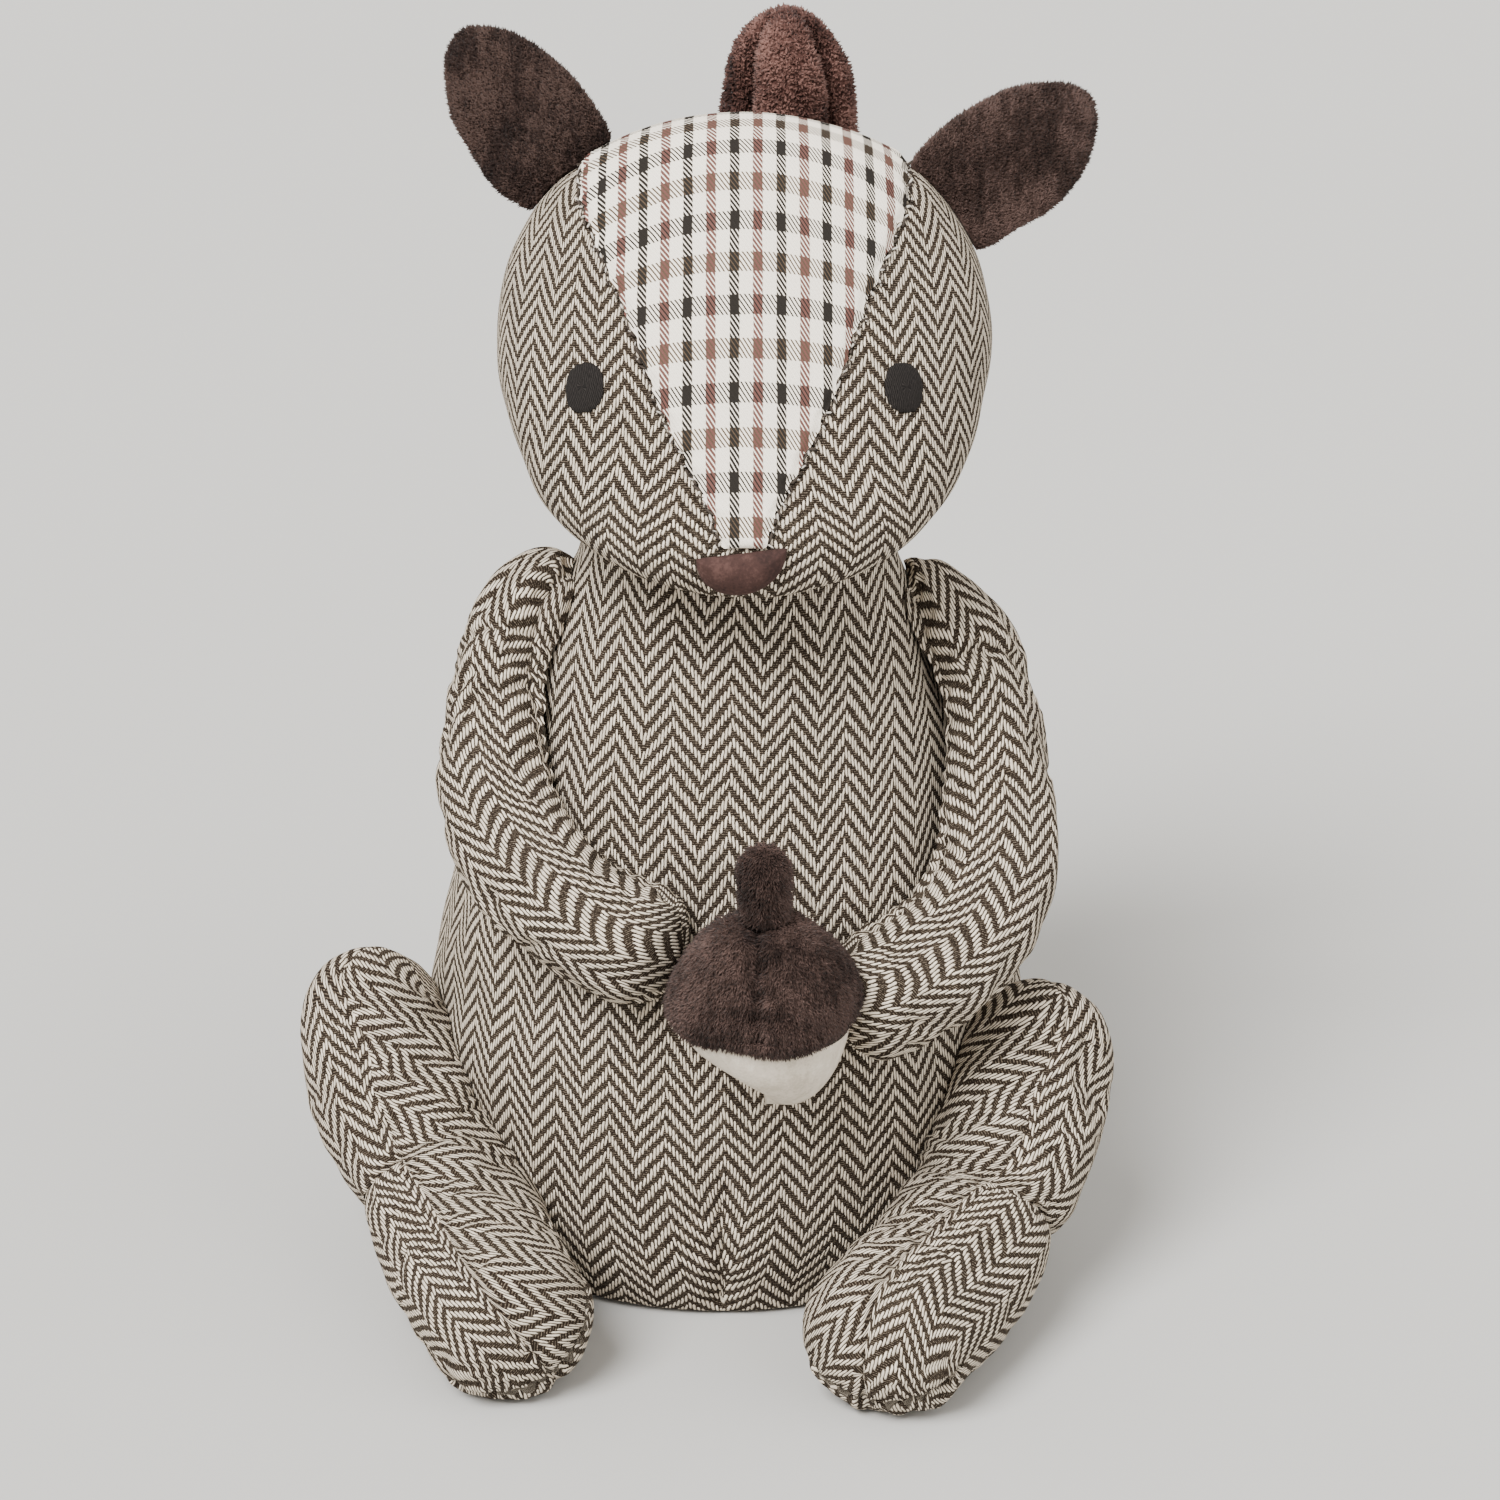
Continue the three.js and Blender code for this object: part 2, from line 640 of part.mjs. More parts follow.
function acornStem() {
  const foot = CAP_HEIGHT - STEM_SINK;
  const tipLean = 1;
  return stuffedTube({
    route: [
      onAcorn(0, 0, foot),
      onAcorn(0, 0, foot + 0.6 * STEM_LENGTH),
      onAcorn(tipLean, degrees(126), foot + STEM_LENGTH)
    ],
    radius: smooth([[0, STEM_RADIUS - 0.5], [1, STEM_RADIUS]]),
    caps: [2, STEM_RADIUS],
    outward: () => new THREE.Vector3(0, -1, 0),
    shape: () => 1,
    facets: [12, 10]
  });
}

// Cloths
const TWEED = 0x998f84;
const CHECK = 0xd8d2c4;
const CALICO = 0xcfc4b2;
const EAR_PLUSH = 0x453530;
const TAIL_PLUSH = 0x73554d;
const NOSE_VELVET = 0x684b47;
const EYE_THREAD = 0x3b3734;
const NUT_SUEDE = 0xc6bcaf;

function cloth(color, roughness) {
  return new THREE.MeshStandardMaterial({ color, roughness, metalness: 0 });
}

// Assembly: each piece is trimmed where it meets its neighbours
function trimmed(solid, ...neighbours) {
  return neighbours.reduce((left, neighbour) => left.subtract(neighbour), solid);
}

const model = new THREE.Group();

function addPiece(name, solid, color, roughness = 0.95) {
  model.add(toMesh(name, solid, cloth(color, roughness)));
}

const bodyFit = bodySkin(SEAT_GAP);
const headFit = headSkin(SEAT_GAP);
const patchFit = foreheadPatch(SEAT_GAP);
const capFit = acornCap(SEAT_GAP);
const nutFit = acornNut(SEAT_GAP);

addPiece('body', trimmed(bodySkin(), headFit, basePanel(SEAT_GAP), sandBag(SEAT_GAP)), TWEED);
addPiece('base_panel', basePanel(), TWEED);
addPiece('weight_bag', sandBag(), CALICO);
addPiece('head', headSkin(), TWEED);
addPiece('forehead_patch', trimmed(foreheadPatch(), headFit), CHECK);
addPiece('nose', nosePad(), NOSE_VELVET, 0.8);
addPiece('left_eye', eyePad(EYE_SPREAD), EYE_THREAD, 0.7);
addPiece('right_eye', eyePad(-EYE_SPREAD), EYE_THREAD, 0.7);
addPiece('left_ear', trimmed(ear(LEFT_EAR), headFit, patchFit), EAR_PLUSH);
addPiece('right_ear', trimmed(ear(RIGHT_EAR), headFit, patchFit), EAR_PLUSH);

const armFits = [bodyFit, headFit, capFit, nutFit];
addPiece('left_arm', trimmed(arm(LEFT_ARM_ROUTE), ...armFits), TWEED);
addPiece('right_arm', trimmed(arm(RIGHT_ARM_ROUTE), ...armFits), TWEED);
addPiece('left_leg', trimmed(leg(LEFT_LEG_ROUTE), bodyFit), TWEED);
addPiece('right_leg', trimmed(leg(RIGHT_LEG_ROUTE), bodyFit), TWEED);
addPiece('tail', trimmed(tail(), bodyFit, headFit), TAIL_PLUSH);
addPiece('acorn_cap', trimmed(acornCap(), bodyFit), EAR_PLUSH);
addPiece('acorn_stem', trimmed(acornStem(), capFit, bodyFit), EAR_PLUSH);
addPiece('acorn_nut', trimmed(acornNut(), capFit, bodyFit), NUT_SUEDE);

export default model;
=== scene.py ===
"""Looks of the weighted fabric door stop: a sitting squirrel in tweed, check cotton and plush.

Forms are worked out in millimetres, +Z up and front towards -Y, and become meshes in metres.
"""

from __future__ import annotations

import logging
import math
from dataclasses import dataclass, replace
from enum import Enum
from typing import Callable, Sequence, Union

import bpy
import numpy as np
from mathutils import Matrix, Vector


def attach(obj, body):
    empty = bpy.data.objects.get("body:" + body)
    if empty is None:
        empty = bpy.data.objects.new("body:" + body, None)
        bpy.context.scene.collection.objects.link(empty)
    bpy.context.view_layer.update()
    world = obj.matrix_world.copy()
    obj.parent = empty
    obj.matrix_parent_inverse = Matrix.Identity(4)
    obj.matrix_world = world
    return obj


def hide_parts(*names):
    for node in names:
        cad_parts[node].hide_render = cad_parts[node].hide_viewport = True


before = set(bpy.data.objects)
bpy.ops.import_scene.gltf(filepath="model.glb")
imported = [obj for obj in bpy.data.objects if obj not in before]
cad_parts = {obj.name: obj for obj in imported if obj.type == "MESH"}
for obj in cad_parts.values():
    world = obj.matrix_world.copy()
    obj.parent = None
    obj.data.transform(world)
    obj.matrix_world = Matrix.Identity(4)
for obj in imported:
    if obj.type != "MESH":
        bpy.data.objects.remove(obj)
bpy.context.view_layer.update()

LOG = logging.getLogger("door_stop")
MM = 0.001
TURN = 2 * math.pi
CLOTH_MAP = "cloth"
SEAT_GAP = 0.4
ARM_GAP = 3.0
SHOULDER_LEVELS = (130, 152)
BROW_RADIUS = 55
Array = np.ndarray


def unit(vectors: Array) -> Array:
    """Vectors scaled to length 1."""
    return vectors / np.maximum(np.linalg.norm(vectors, axis=-1, keepdims=True), 1e-12)


def bump(distance: Array, width: float) -> Array:
    """Bell of height 1 and the given width."""
    return np.exp(-((distance / width) ** 2))


def eased(value: Array, low: float, high: float) -> Array:
    """Smooth step from 0 at low to 1 at high."""
    share = np.clip((value - low) / (high - low), 0, 1)
    return share * share * (3 - 2 * share)


def paint(red: float, green: float, blue: float) -> tuple[float, float, float, float]:
    """Linear colour from screen values of 0 to 255."""
    share = np.array([red, green, blue]) / 255
    linear = np.where(share > 0.04045, ((share + 0.055) / 1.055) ** 2.4, share / 12.92)
    return (*linear.tolist(), 1.0)


def hermite(start: Array, end: Array, start_slope: Array, end_slope: Array, share: Array) -> Array:
    """Cubic from start to end at shares of the way, its slopes given over the whole way."""
    s = share
    curve = start * (2 * s**3 - 3 * s**2 + 1) + start_slope * (s**3 - 2 * s**2 + s)
    return curve + end * (3 * s**2 - 2 * s**3) + end_slope * (s**3 - s**2)


def smooth(stations: Sequence[tuple[float, float]]) -> Callable[[Array], Array]:
    """Smooth curve of a value through stations.

    Args:
        stations: (position, value) pairs in rising order.

    Returns:
        A function of position, level at both ends.
    """
    at, value = np.array(stations, float).T
    slope = np.zeros(len(at))
    slope[1:-1] = (value[2:] - value[:-2]) / (at[2:] - at[:-2])

    def curve(position: Array) -> Array:
        place = np.clip(position, at[0], at[-1])
        i = np.clip(np.searchsorted(at, place, side="right") - 1, 0, len(at) - 2)
        gap = at[i + 1] - at[i]
        return hermite(value[i], value[i + 1], slope[i] * gap, slope[i + 1] * gap, (place - at[i]) / gap)

    return curve


def refined(values: Array, at: Array, wanted: Array) -> Array:
    """Smooth values between rows.

    Args:
        values: one entry for each known row.
        at: places of the known rows, rising.
        wanted: places that are asked for.

    Returns:
        One entry for each wanted place.
    """
    slope = np.gradient(values, at, axis=0)
    i = np.clip(np.searchsorted(at, wanted, side="right") - 1, 0, len(at) - 2)
    gap = (at[i + 1] - at[i]).reshape(-1, *[1] * (values.ndim - 1))
    share = (wanted - at[i]).reshape(gap.shape) / gap
    return hermite(values[i], values[i + 1], slope[i] * gap, slope[i + 1] * gap, share)


def lengths(lines: Array) -> Array:
    """Distance of points from the start of their line. Lines run along the first axis."""
    steps = np.linalg.norm(np.diff(lines, axis=0), axis=-1)
    return np.concatenate([0 * steps[:1], np.cumsum(steps, axis=0)])


def ring(count: int) -> Array:
    """Angles of a closed row of columns."""
    return np.arange(count) / count * TURN


def lumps(points: Array, size: float, seed: int, waves: int = 14) -> Array:
    """Soft stuffing lumps, roughly from -1 to 1.

    Args:
        points: places in millimetres.
        size: usual width of a lump.
        seed: choice of lumps.
        waves: number of waves that are summed.

    Returns:
        One value for each point.
    """
    rng = np.random.default_rng(seed)
    total = np.zeros(points.shape[:-1])
    for _ in range(waves):
        way = unit(rng.normal(size=3)) * TURN / (2 * size * rng.uniform(0.7, 1.6))
        total += np.sin(points @ way + rng.uniform(0, TURN))
    return total / math.sqrt(waves)


def seam_dip(aside: Array, along: Array, depth: float = 0.9, width: float = 1.0) -> Array:
    """Depth of a sewn seam with the small puckers beside it.

    Args:
        aside: distance from the seam in millimetres.
        along: distance along the seam in millimetres.
        depth: depth of the seam itself.
        width: half width of its valley.

    Returns:
        How far the cloth goes in.
    """
    wave = np.sin(along * TURN / 5.3 + 1.7 * np.sin(along / 11))
    return depth * bump(aside, width) * (1 + 0.25 * wave) + 0.2 * depth * bump(aside, 4 * width) * wave


@dataclass
class Skin:
    """Closed cloth surface: rows of points from one pole to the other, and the cloth's map.

    Low and high hold the map in millimetres at both sides of each column of faces, so that
    a panel can end on a seam.
    """

    points: Array
    low: Array
    high: Array

    @staticmethod
    def of(points: Array) -> Skin:
        """Skin with an empty map."""
        shape = (*points.shape[:2], 2)
        return Skin(points, np.zeros(shape), np.zeros(shape))

    def sense(self) -> float:
        """1 where rows and columns run so that their cross product points outwards."""
        centre = self.points.reshape(-1, 3).mean(0)
        return math.copysign(1.0, float(((self.points - centre) * self.crossed()).sum()))

    def crossed(self) -> Array:
        """Cross product of the directions around and along."""
        around = np.roll(self.points, -1, 1) - np.roll(self.points, 1, 1)
        return np.cross(around, np.gradient(self.points, axis=0))

    def normals(self) -> Array:
        """Outward direction at each point."""
        found = self.crossed()
        found[0], found[-1] = found[1].mean(0), found[-2].mean(0)
        return unit(found) * self.sense()

    def pushed(self, distance: Array | float) -> Skin:
        """The same skin moved along its outward directions."""
        step = np.broadcast_to(np.asarray(distance, float), self.points.shape[:2]).copy()
        step[0], step[-1] = step[0].mean(), step[-1].mean()
        return Skin(self.points + self.normals() * step[..., None], self.low, self.high)

    def around(self) -> Array:
        """Distance around each row from its first column, and back to it."""
        closed = np.concatenate([self.points, self.points[:, :1]], axis=1)
        return lengths(closed.swapaxes(0, 1)).T

    def along(self) -> Array:
        """Distance along each column from the first pole."""
        return lengths(self.points)

    def lay_panels(self, panels: Sequence[tuple[int, int, float]], across: Array, along: Array) -> None:
        """Lays cloth on the skin in panels.

        Args:
            panels: first column, last column and the column that the cloth is centred on.
            across: distance around, with one column more than the points.
            along: distance along, for each point.
        """
        closed = np.concatenate([along, along[:, :1]], axis=1)
        for first, last, centre in panels:
            low, share = int(centre), centre - int(centre)
            high = min(low + 1, across.shape[1] - 1)
            middle = across[:, low] * (1 - share) + across[:, high] * share
            laid = across - middle[:, None]
            columns = slice(first, last)
            self.low[:, columns] = np.stack([laid[:, columns], closed[:, columns]], axis=2)
            beyond = slice(first + 1, last + 1)
            self.high[:, columns] = np.stack([laid[:, beyond], closed[:, beyond]], axis=2)

    def quads(self) -> tuple[Array, Array]:
        """Corners and maps of the faces between the rows beside the poles."""
        rows, count = self.points.shape[:2]
        column = np.arange(count)
        after = (column + 1) % count
        start = 1 + np.arange(rows - 3)[:, None] * count
        corners = np.stack([start + column, start + after, start + count + after, start + count + column], axis=2)
        maps = np.stack([self.low[1:-2], self.high[1:-2], self.high[2:-1], self.low[2:-1]], axis=2)
        return corners.reshape(-1, 4), maps.reshape(-1, 4, 2)

    def fan(self, first: bool) -> tuple[Array, Array]:
        """Corners and maps of the triangles round the first or the last pole."""
        rows, count = self.points.shape[:2]
        row, pole, vertex = (1, 0, 0) if first else (rows - 2, rows - 1, 1 + (rows - 2) * count)
        column = np.arange(count)
        after = (column + 1) % count
        tip = (self.low[row] + self.high[row]) / 2
        tip[:, 1] = self.low[pole, :, 1]
        corners = np.stack([0 * column, column, after], axis=1) + 1 + (row - 1) * count
        corners[:, 0] = vertex
        maps = np.stack([tip, self.low[row], self.high[row]], axis=1)
        order = [0, 2, 1] if first else [0, 1, 2]
        return corners[:, order], maps[:, order]

    def made(self, name: str) -> bpy.types.Object:
        """Mesh object of the skin, smooth, with its map."""
        inner = self.points[1:-1].reshape(-1, 3)
        spots = np.concatenate([self.points[:1, 0], inner, self.points[-1:, 0]]) * MM
        parts = [self.quads(), self.fan(True), self.fan(False)]
        if self.sense() < 0:
            parts = [(corners[:, ::-1], maps[:, ::-1]) for corners, maps in parts]
        corners = np.concatenate([part.ravel() for part, _ in parts])
        maps = np.concatenate([part.reshape(-1, 2) for _, part in parts])
        sizes = np.concatenate([np.full(len(part), part.shape[1]) for part, _ in parts])
        return cloth_object(name, spots, corners, sizes, maps)


def added(name: str, data: bpy.types.ID) -> bpy.types.Object:
    """New object in the scene."""
    made = bpy.data.objects.new(name, data)
    bpy.context.scene.collection.objects.link(made)
    return made


def vertices(mesh: bpy.types.Mesh) -> Array:
    """Places of a mesh's vertices in millimetres."""
    spots = np.empty(3 * len(mesh.vertices), np.float32)
    mesh.vertices.foreach_get("co", spots)
    return spots.reshape(-1, 3).astype(float) / MM


def cloth_object(name: str, spots: Array, corners: Array, sizes: Array, maps: Array) -> bpy.types.Object:
    """Mesh object from its parts.

    Args:
        name: piece name.
        spots: vertices in metres.
        corners: vertex of each face corner.
        sizes: number of corners of each face.
        maps: cloth map of each face corner, in millimetres.

    Returns:
        The object, linked to the scene.
    """
    mesh = bpy.data.meshes.new(name)
    mesh.vertices.add(len(spots))
    mesh.vertices.foreach_set("co", spots.ravel())
    mesh.loops.add(len(corners))
    mesh.loops.foreach_set("vertex_index", corners.astype(np.int32))
    mesh.polygons.add(len(sizes))
    starts = np.concatenate([[0], np.cumsum(sizes)[:-1]])
    mesh.polygons.foreach_set("loop_start", starts.astype(np.int32))
    mesh.update(calc_edges=True)
    layer = mesh.uv_layers.new(name=CLOTH_MAP)
    layer.uv.foreach_set("vector", maps.astype(np.float32).ravel())
    mesh.validate()
    mesh.shade_smooth()
    return added(name, mesh)


def baked(piece: bpy.types.Object) -> bpy.types.Object:
    """The piece with its modifiers applied to its mesh and removed."""
    depsgraph = bpy.context.evaluated_depsgraph_get()
    mesh = bpy.data.meshes.new_from_object(
        piece.evaluated_get(depsgraph), preserve_all_data_layers=True, depsgraph=depsgraph
    )
    old = piece.data
    piece.modifiers.clear()
    piece.data = mesh
    mesh.name = piece.name
    bpy.data.meshes.remove(old)
    return piece


def trimmed(piece: bpy.types.Object, *cutters: bpy.types.Object) -> bpy.types.Object:
    """The piece cut back to clear its neighbours.

    Args:
        piece: the soft piece.
        cutters: its neighbours' skins, grown by a small gap.

    Returns:
        The piece, with crisp edges where it was cut.
    """
    for cutter in cutters:
        cut = piece.modifiers.new("seat", "BOOLEAN")
        cut.operation, cut.solver, cut.object = "DIFFERENCE", "MANIFOLD", cutter
    baked(piece)
    piece.data.set_sharp_from_angle(angle=math.radians(50))
    return piece


# Forms shared with the solids


@dataclass(frozen=True)
class BodyForm:
    """Pear-shaped body on a flat oval base."""

    base_radius: float = 55
    belly_radius: float = 66.5
    belly_level: float = 48
    chest_radius: float = 48
    chest_level: float = 127
    neck_radius: float = 33
    neck_level: float = 172
    neck_crown: float = 14
    depth_ratio: float = 0.93
    lean: float = 3.2

    def radius(self, height: Array) -> Array:
        """Half width at a height."""
        drop = np.clip(1 - np.maximum(height, 0) / self.belly_level, 0, 1)
        below = self.base_radius + (self.belly_radius - self.base_radius) * np.sqrt(1 - drop**2)
        taper = smooth([
            (self.belly_level, self.belly_radius),
            (self.chest_level, self.chest_radius),
            (self.neck_level, self.neck_radius),
        ])
        return np.where(height < self.belly_level, below, taper(height))

    def middle(self, height: Array) -> Array:
        """Sideways place of the axis, which leans a little."""
        return self.lean * (height / self.neck_level) ** 2

    def place(self, turn: Array, height: Array, off: Array | float = 0.0) -> Array:
        """Point at an azimuth and a height, off the surface by a distance."""
        turn, height, off = np.broadcast_arrays(turn, np.asarray(height, float), off)
        radius = self.radius(height) + off
        x = self.middle(height) + radius * np.cos(turn)
        return np.stack([x, self.depth_ratio * radius * np.sin(turn), height], axis=-1)

    def gap(self, points: Array) -> Array:
        """Rough distance of points outside the body's side."""
        x = points[..., 0] - self.middle(points[..., 2])
        reach = np.hypot(x, points[..., 1] / self.depth_ratio)
        over = points[..., 2] - self.neck_level - self.neck_crown
        return np.maximum(reach - self.radius(points[..., 2]), over)


@dataclass(frozen=True)
class HeadForm:
    """Head with wide cheeks and a low, blunt snout."""

    half_width: float = 52.6
    half_height: float = 44.6
    snout_reach: float = 67
    back_reach: float = 44.4
    shift: float = 4.8
    setback: float = 2.8
    level: float = 207.7
    snout_drop: float = math.radians(30)
    cheek_taper: float = 0.07
    cheek_fullness: float = 0.16
    brow_taper: float = 0.356
    brow_flatness: float = 0.205
    snout_bluntness: float = 0.2

    @property
    def middle(self) -> Array:
        """Middle of the head."""
        return np.array([self.shift, -self.setback, self.level])

    @property
    def snout_axis(self) -> Array:
        """Direction towards the tip of the snout."""
        return np.array([0, -math.cos(self.snout_drop), -math.sin(self.snout_drop)])

    @property
    def brow_axis(self) -> Array:
        """Direction up from the snout's axis."""
        return np.array([0, -math.sin(self.snout_drop), math.cos(self.snout_drop)])

    def width(self, along: Array) -> Array:
        """Half width at a share of the way to the snout."""
        return self.half_width * (1 - self.cheek_taper * along + self.cheek_fullness * along**2)

    def height(self, along: Array) -> Array:
        """Half height at a share of the way to the snout."""
        blunt = self.snout_bluntness * np.maximum(along, 0) ** 8
        return self.half_height * (1 - self.brow_taper * along - self.brow_flatness * along**2 + blunt)

    def split(self, points: Array) -> tuple[Array, Array, Array]:
        """Share towards the snout, distance aside and distance up of points."""
        local = points - self.middle
        reach = local @ self.snout_axis
        share = reach / np.where(reach > 0, self.snout_reach, self.back_reach)
        return share, local[..., 0], local @ self.brow_axis

    def fill(self, points: Array) -> Array:
        """Below 1 inside the head and 1 on its surface."""
        share, aside, up = self.split(points)
        along = np.clip(share, -1, 1)
        return (aside / self.width(along)) ** 2 + (up / self.height(along)) ** 2 + share**2

    def normal(self, points: Array) -> Array:
        """Outward direction near the surface."""
        step = np.eye(3) * 0.05
        slopes = [self.fill(points + s) - self.fill(points - s) for s in step]
        return unit(np.stack(slopes, axis=-1))

    def gap(self, points: Array) -> Array:
        """Rough distance of points outside the head."""
        return (np.sqrt(self.fill(points)) - 1) * self.half_height

    def place(self, turn: Array, polar: Array, off: Array | float = 0.0) -> Array:
        """Point at a turn round the snout's axis and an angle from the tip of the snout."""
        turn, polar, off = np.broadcast_arrays(turn, np.asarray(polar, float), off)
        along = np.cos(polar)
        aside = self.width(along) * np.sin(polar) * np.cos(turn)
        up = self.height(along) * np.sin(polar) * np.sin(turn)
        reach = np.where(along > 0, self.snout_reach, self.back_reach) * along
        point = self.middle + aside[..., None] * np.array([1.0, 0, 0])
        point = point + up[..., None] * self.brow_axis + reach[..., None] * self.snout_axis
        return point + self.normal(point) * off[..., None]

    def brow_place(self, aside: Array, polar: Array, off: Array | float = 0.0) -> Array:
        """Point on the brow by its distance to the side of the middle line."""
        half = self.width(np.cos(polar)) * np.sin(polar)
        return self.place(np.arccos(np.clip(aside / half, -1, 1)), polar, off)

    def dropped(self, points: Array, out: Array) -> Array:
        """Points moved against a direction onto the surface."""
        above, below = points + out * self.half_height, points - out * self.half_height / 2
        for _ in range(26):
            middle = (above + below) / 2
            outside = (self.fill(middle) > 1)[..., None]
            above, below = np.where(outside, middle, above), np.where(outside, below, middle)
        return below


BODY = BodyForm()
HEAD = HeadForm()


@dataclass(frozen=True)
class Route:
    """Smooth line through a limb's stations."""

    stations: Array

    def traced(self, each: int = 160) -> Array:
        """Points close together along the line."""
        first, last = self.stations[:2], self.stations[-2:]
        knots = np.concatenate([[2 * first[0] - first[1]], self.stations, [2 * last[1] - last[0]]])
        share = np.linspace(0, 1, each, endpoint=False)[:, None]
        pieces = []
        for p0, p1, p2, p3 in zip(knots, knots[1:], knots[2:], knots[3:]):
            d0, d1, d2 = (math.sqrt(np.linalg.norm(b - a)) for a, b in ((p0, p1), (p1, p2), (p2, p3)))
            m1 = ((p1 - p0) / d0 - (p2 - p0) / (d0 + d1) + (p2 - p1) / d1) * d1
            m2 = ((p2 - p1) / d1 - (p3 - p1) / (d1 + d2) + (p3 - p2) / d2) * d1
            pieces.append(hermite(p1, p2, m1, m2, share))
        return np.concatenate([*pieces, self.stations[-1:]])

    def length(self) -> float:
        """Length of the line."""
        return float(np.linalg.norm(np.diff(self.traced(), axis=0), axis=1).sum())

    def followed(self, run: Array) -> tuple[Array, Array]:
        """Places and directions at shares of the length."""
        line = self.traced()
        far = lengths(line)
        way = np.gradient(line, far, axis=0)
        place, way = (np.stack([np.interp(run * far[-1], far, part[:, k]) for k in range(3)], axis=1)
                      for part in (line, way))
        return place, unit(way)


@dataclass(frozen=True)
class Tube:
    """Stuffed tube along a route, with a round cap at each end.

    Its two panels meet on column 0 and half way round. A mitten's panels run straight over
    the caps to a seam through their poles, and other panels end on a seam round the rim.
    """

    route: Route
    radius: Callable[[Array], Array]
    caps: tuple[float, float]
    outward: Callable[[Array], Array]
    shape: Callable[[Array, Array], Array] = lambda run, angle: 1 + 0 * run * angle
    around: int = 128
    rows: int = 150
    cap_rows: int = 18
    seam: Callable[[Array], Array] = lambda run: 0 * run
    rim: float = math.radians(118)
    mitten: bool = False

    def bends(self) -> Array:
        """Angles from a cap's pole to its edge."""
        return np.sin(np.linspace(0, math.pi / 2, self.cap_rows, endpoint=False)) * math.pi / 2

    def skin(self) -> Skin:
        """The tube's skin with an empty map."""
        length = self.route.length()
        start, end = (cap / length for cap in self.caps)
        bend = self.bends()
        run = np.concatenate([
            start * (1 - np.cos(bend)),
            np.linspace(start, 1 - end, self.rows),
            1 - end * (1 - np.cos(bend[::-1])),
        ])
        swell = np.concatenate([np.sin(bend), np.ones(self.rows), np.sin(bend[::-1])])
        place, way = self.route.followed(run)
        out = self.outward(place)
        out = unit(out - (out * way).sum(1)[:, None] * way)
        side = np.cross(way, out)
        angle = ring(self.around)
        reach = swell[:, None] * self.radius(run)[:, None] * self.shape(run[:, None], angle[None, :])
        facing = (angle[None, :] + self.seam(run)[:, None])[..., None]
        turned = out[:, None] * np.cos(facing) + side[:, None] * np.sin(facing)
        points = place[:, None] + reach[..., None] * turned
        points[..., 2] = np.maximum(points[..., 2], 0)
        return Skin.of(points)

    def clothed(self, skin: Skin) -> None:
        """Lays the two panels on the tube and over its caps."""
        half = self.around // 2
        across, along = skin.around(), skin.along()
        along = (along + along.mean(1, keepdims=True)) / 2
        skin.lay_panels([(0, half, half / 2), (half, self.around, half * 1.5)], across, along)
        over_cap = self.wrapped if self.mitten else self.folded
        for cap, sense, row, rows in self.ends():
            radius = across[row, -1] / TURN
            reach = math.hypot(radius, cap) / math.sqrt(2)
            for first, sign in ((0, 1), (half, -1)):
                fold = (np.arange(half + 1) / half * math.pi)[::sign]
                start = along[row, np.arange(first, first + half + 1) % self.around]
                laid = over_cap(fold, sign * radius, start, sense * reach)
                skin.low[rows, first : first + half] = laid[:, :-1]
                skin.high[rows, first : first + half] = laid[:, 1:]

    def ends(self) -> tuple[tuple[float, int, int, slice], ...]:
        """Length, sense, edge row and rows (from the pole) of both caps."""
        edge = self.cap_rows
        return (self.caps[0], -1, edge, slice(0, edge)), (self.caps[1], 1, -edge - 1, slice(-1, -edge - 1, -1))

    def over_rim(self, fold: Array) -> tuple[Array, Array]:
        """Angle aside of the seam's plane and angle over a cap, for rows from its pole."""
        rise = math.pi / 2 - self.bends()[:, None]
        aside = np.arcsin(np.clip(np.cos(rise) * np.sin(fold), -1, 1))
        return aside, np.arctan2(np.sin(rise), np.cos(rise) * np.cos(fold))

    def folded(self, fold: Array, radius: float, start: Array, reach: float) -> Array:
        """Map of a panel that folds over a cap and ends on the rim's seam.

        Args:
            fold: angles from the front seam for the panel's columns.
            radius: cap's radius, negative on the second panel.
            start: cloth's level at the cap's edge.
            reach: cloth's length over a radian of the cap, negative at the first end.

        Returns:
            Map for rows from the pole and the panel's columns.
        """
        aside, over = self.over_rim(fold)
        under = over > self.rim
        level = start.mean() + (start - start.mean()) * np.cos(over) ** 2
        level = level + reach * np.where(under, math.pi - over, over) * np.cos(aside)
        return np.stack([radius * np.where(under, 1, -1) * (math.pi / 2 - aside), level], axis=2)

    def wrapped(self, fold: Array, radius: float, start: Array, reach: float) -> Array:
        """Map of a mitten's panel, with what folded takes and gives."""
        rise = math.pi / 2 - self.bends()[:, None]
        aside = np.arcsin(np.clip(np.cos(rise) * np.cos(fold), -1, 1))
        over = np.arctan2(np.sin(rise), np.abs(np.cos(rise) * np.sin(fold)))
        level = start.mean() + (start - start.mean()) * np.cos(rise) ** 2 + reach * over * np.cos(aside)
        return np.stack([-radius * aside, level], axis=2)

    def rim_dip(self, depth: float, radius: float = 15) -> Array:
        """Depth of the puckered seam round each cap's rim, for every point."""
        dip = np.zeros((self.rows + 2 * self.cap_rows, self.around))
        if self.mitten:
            return dip
        fold = ring(self.around)
        aside, over = self.over_rim(np.minimum(fold, TURN - fold))
        run = np.copysign(aside, math.pi - fold) * 16
        seam = seam_dip((over - self.rim) * radius * np.cos(aside), run * 1.3, depth, 0.9)
        for _, _, _, rows in self.ends():
            dip[rows] = seam
        return dip


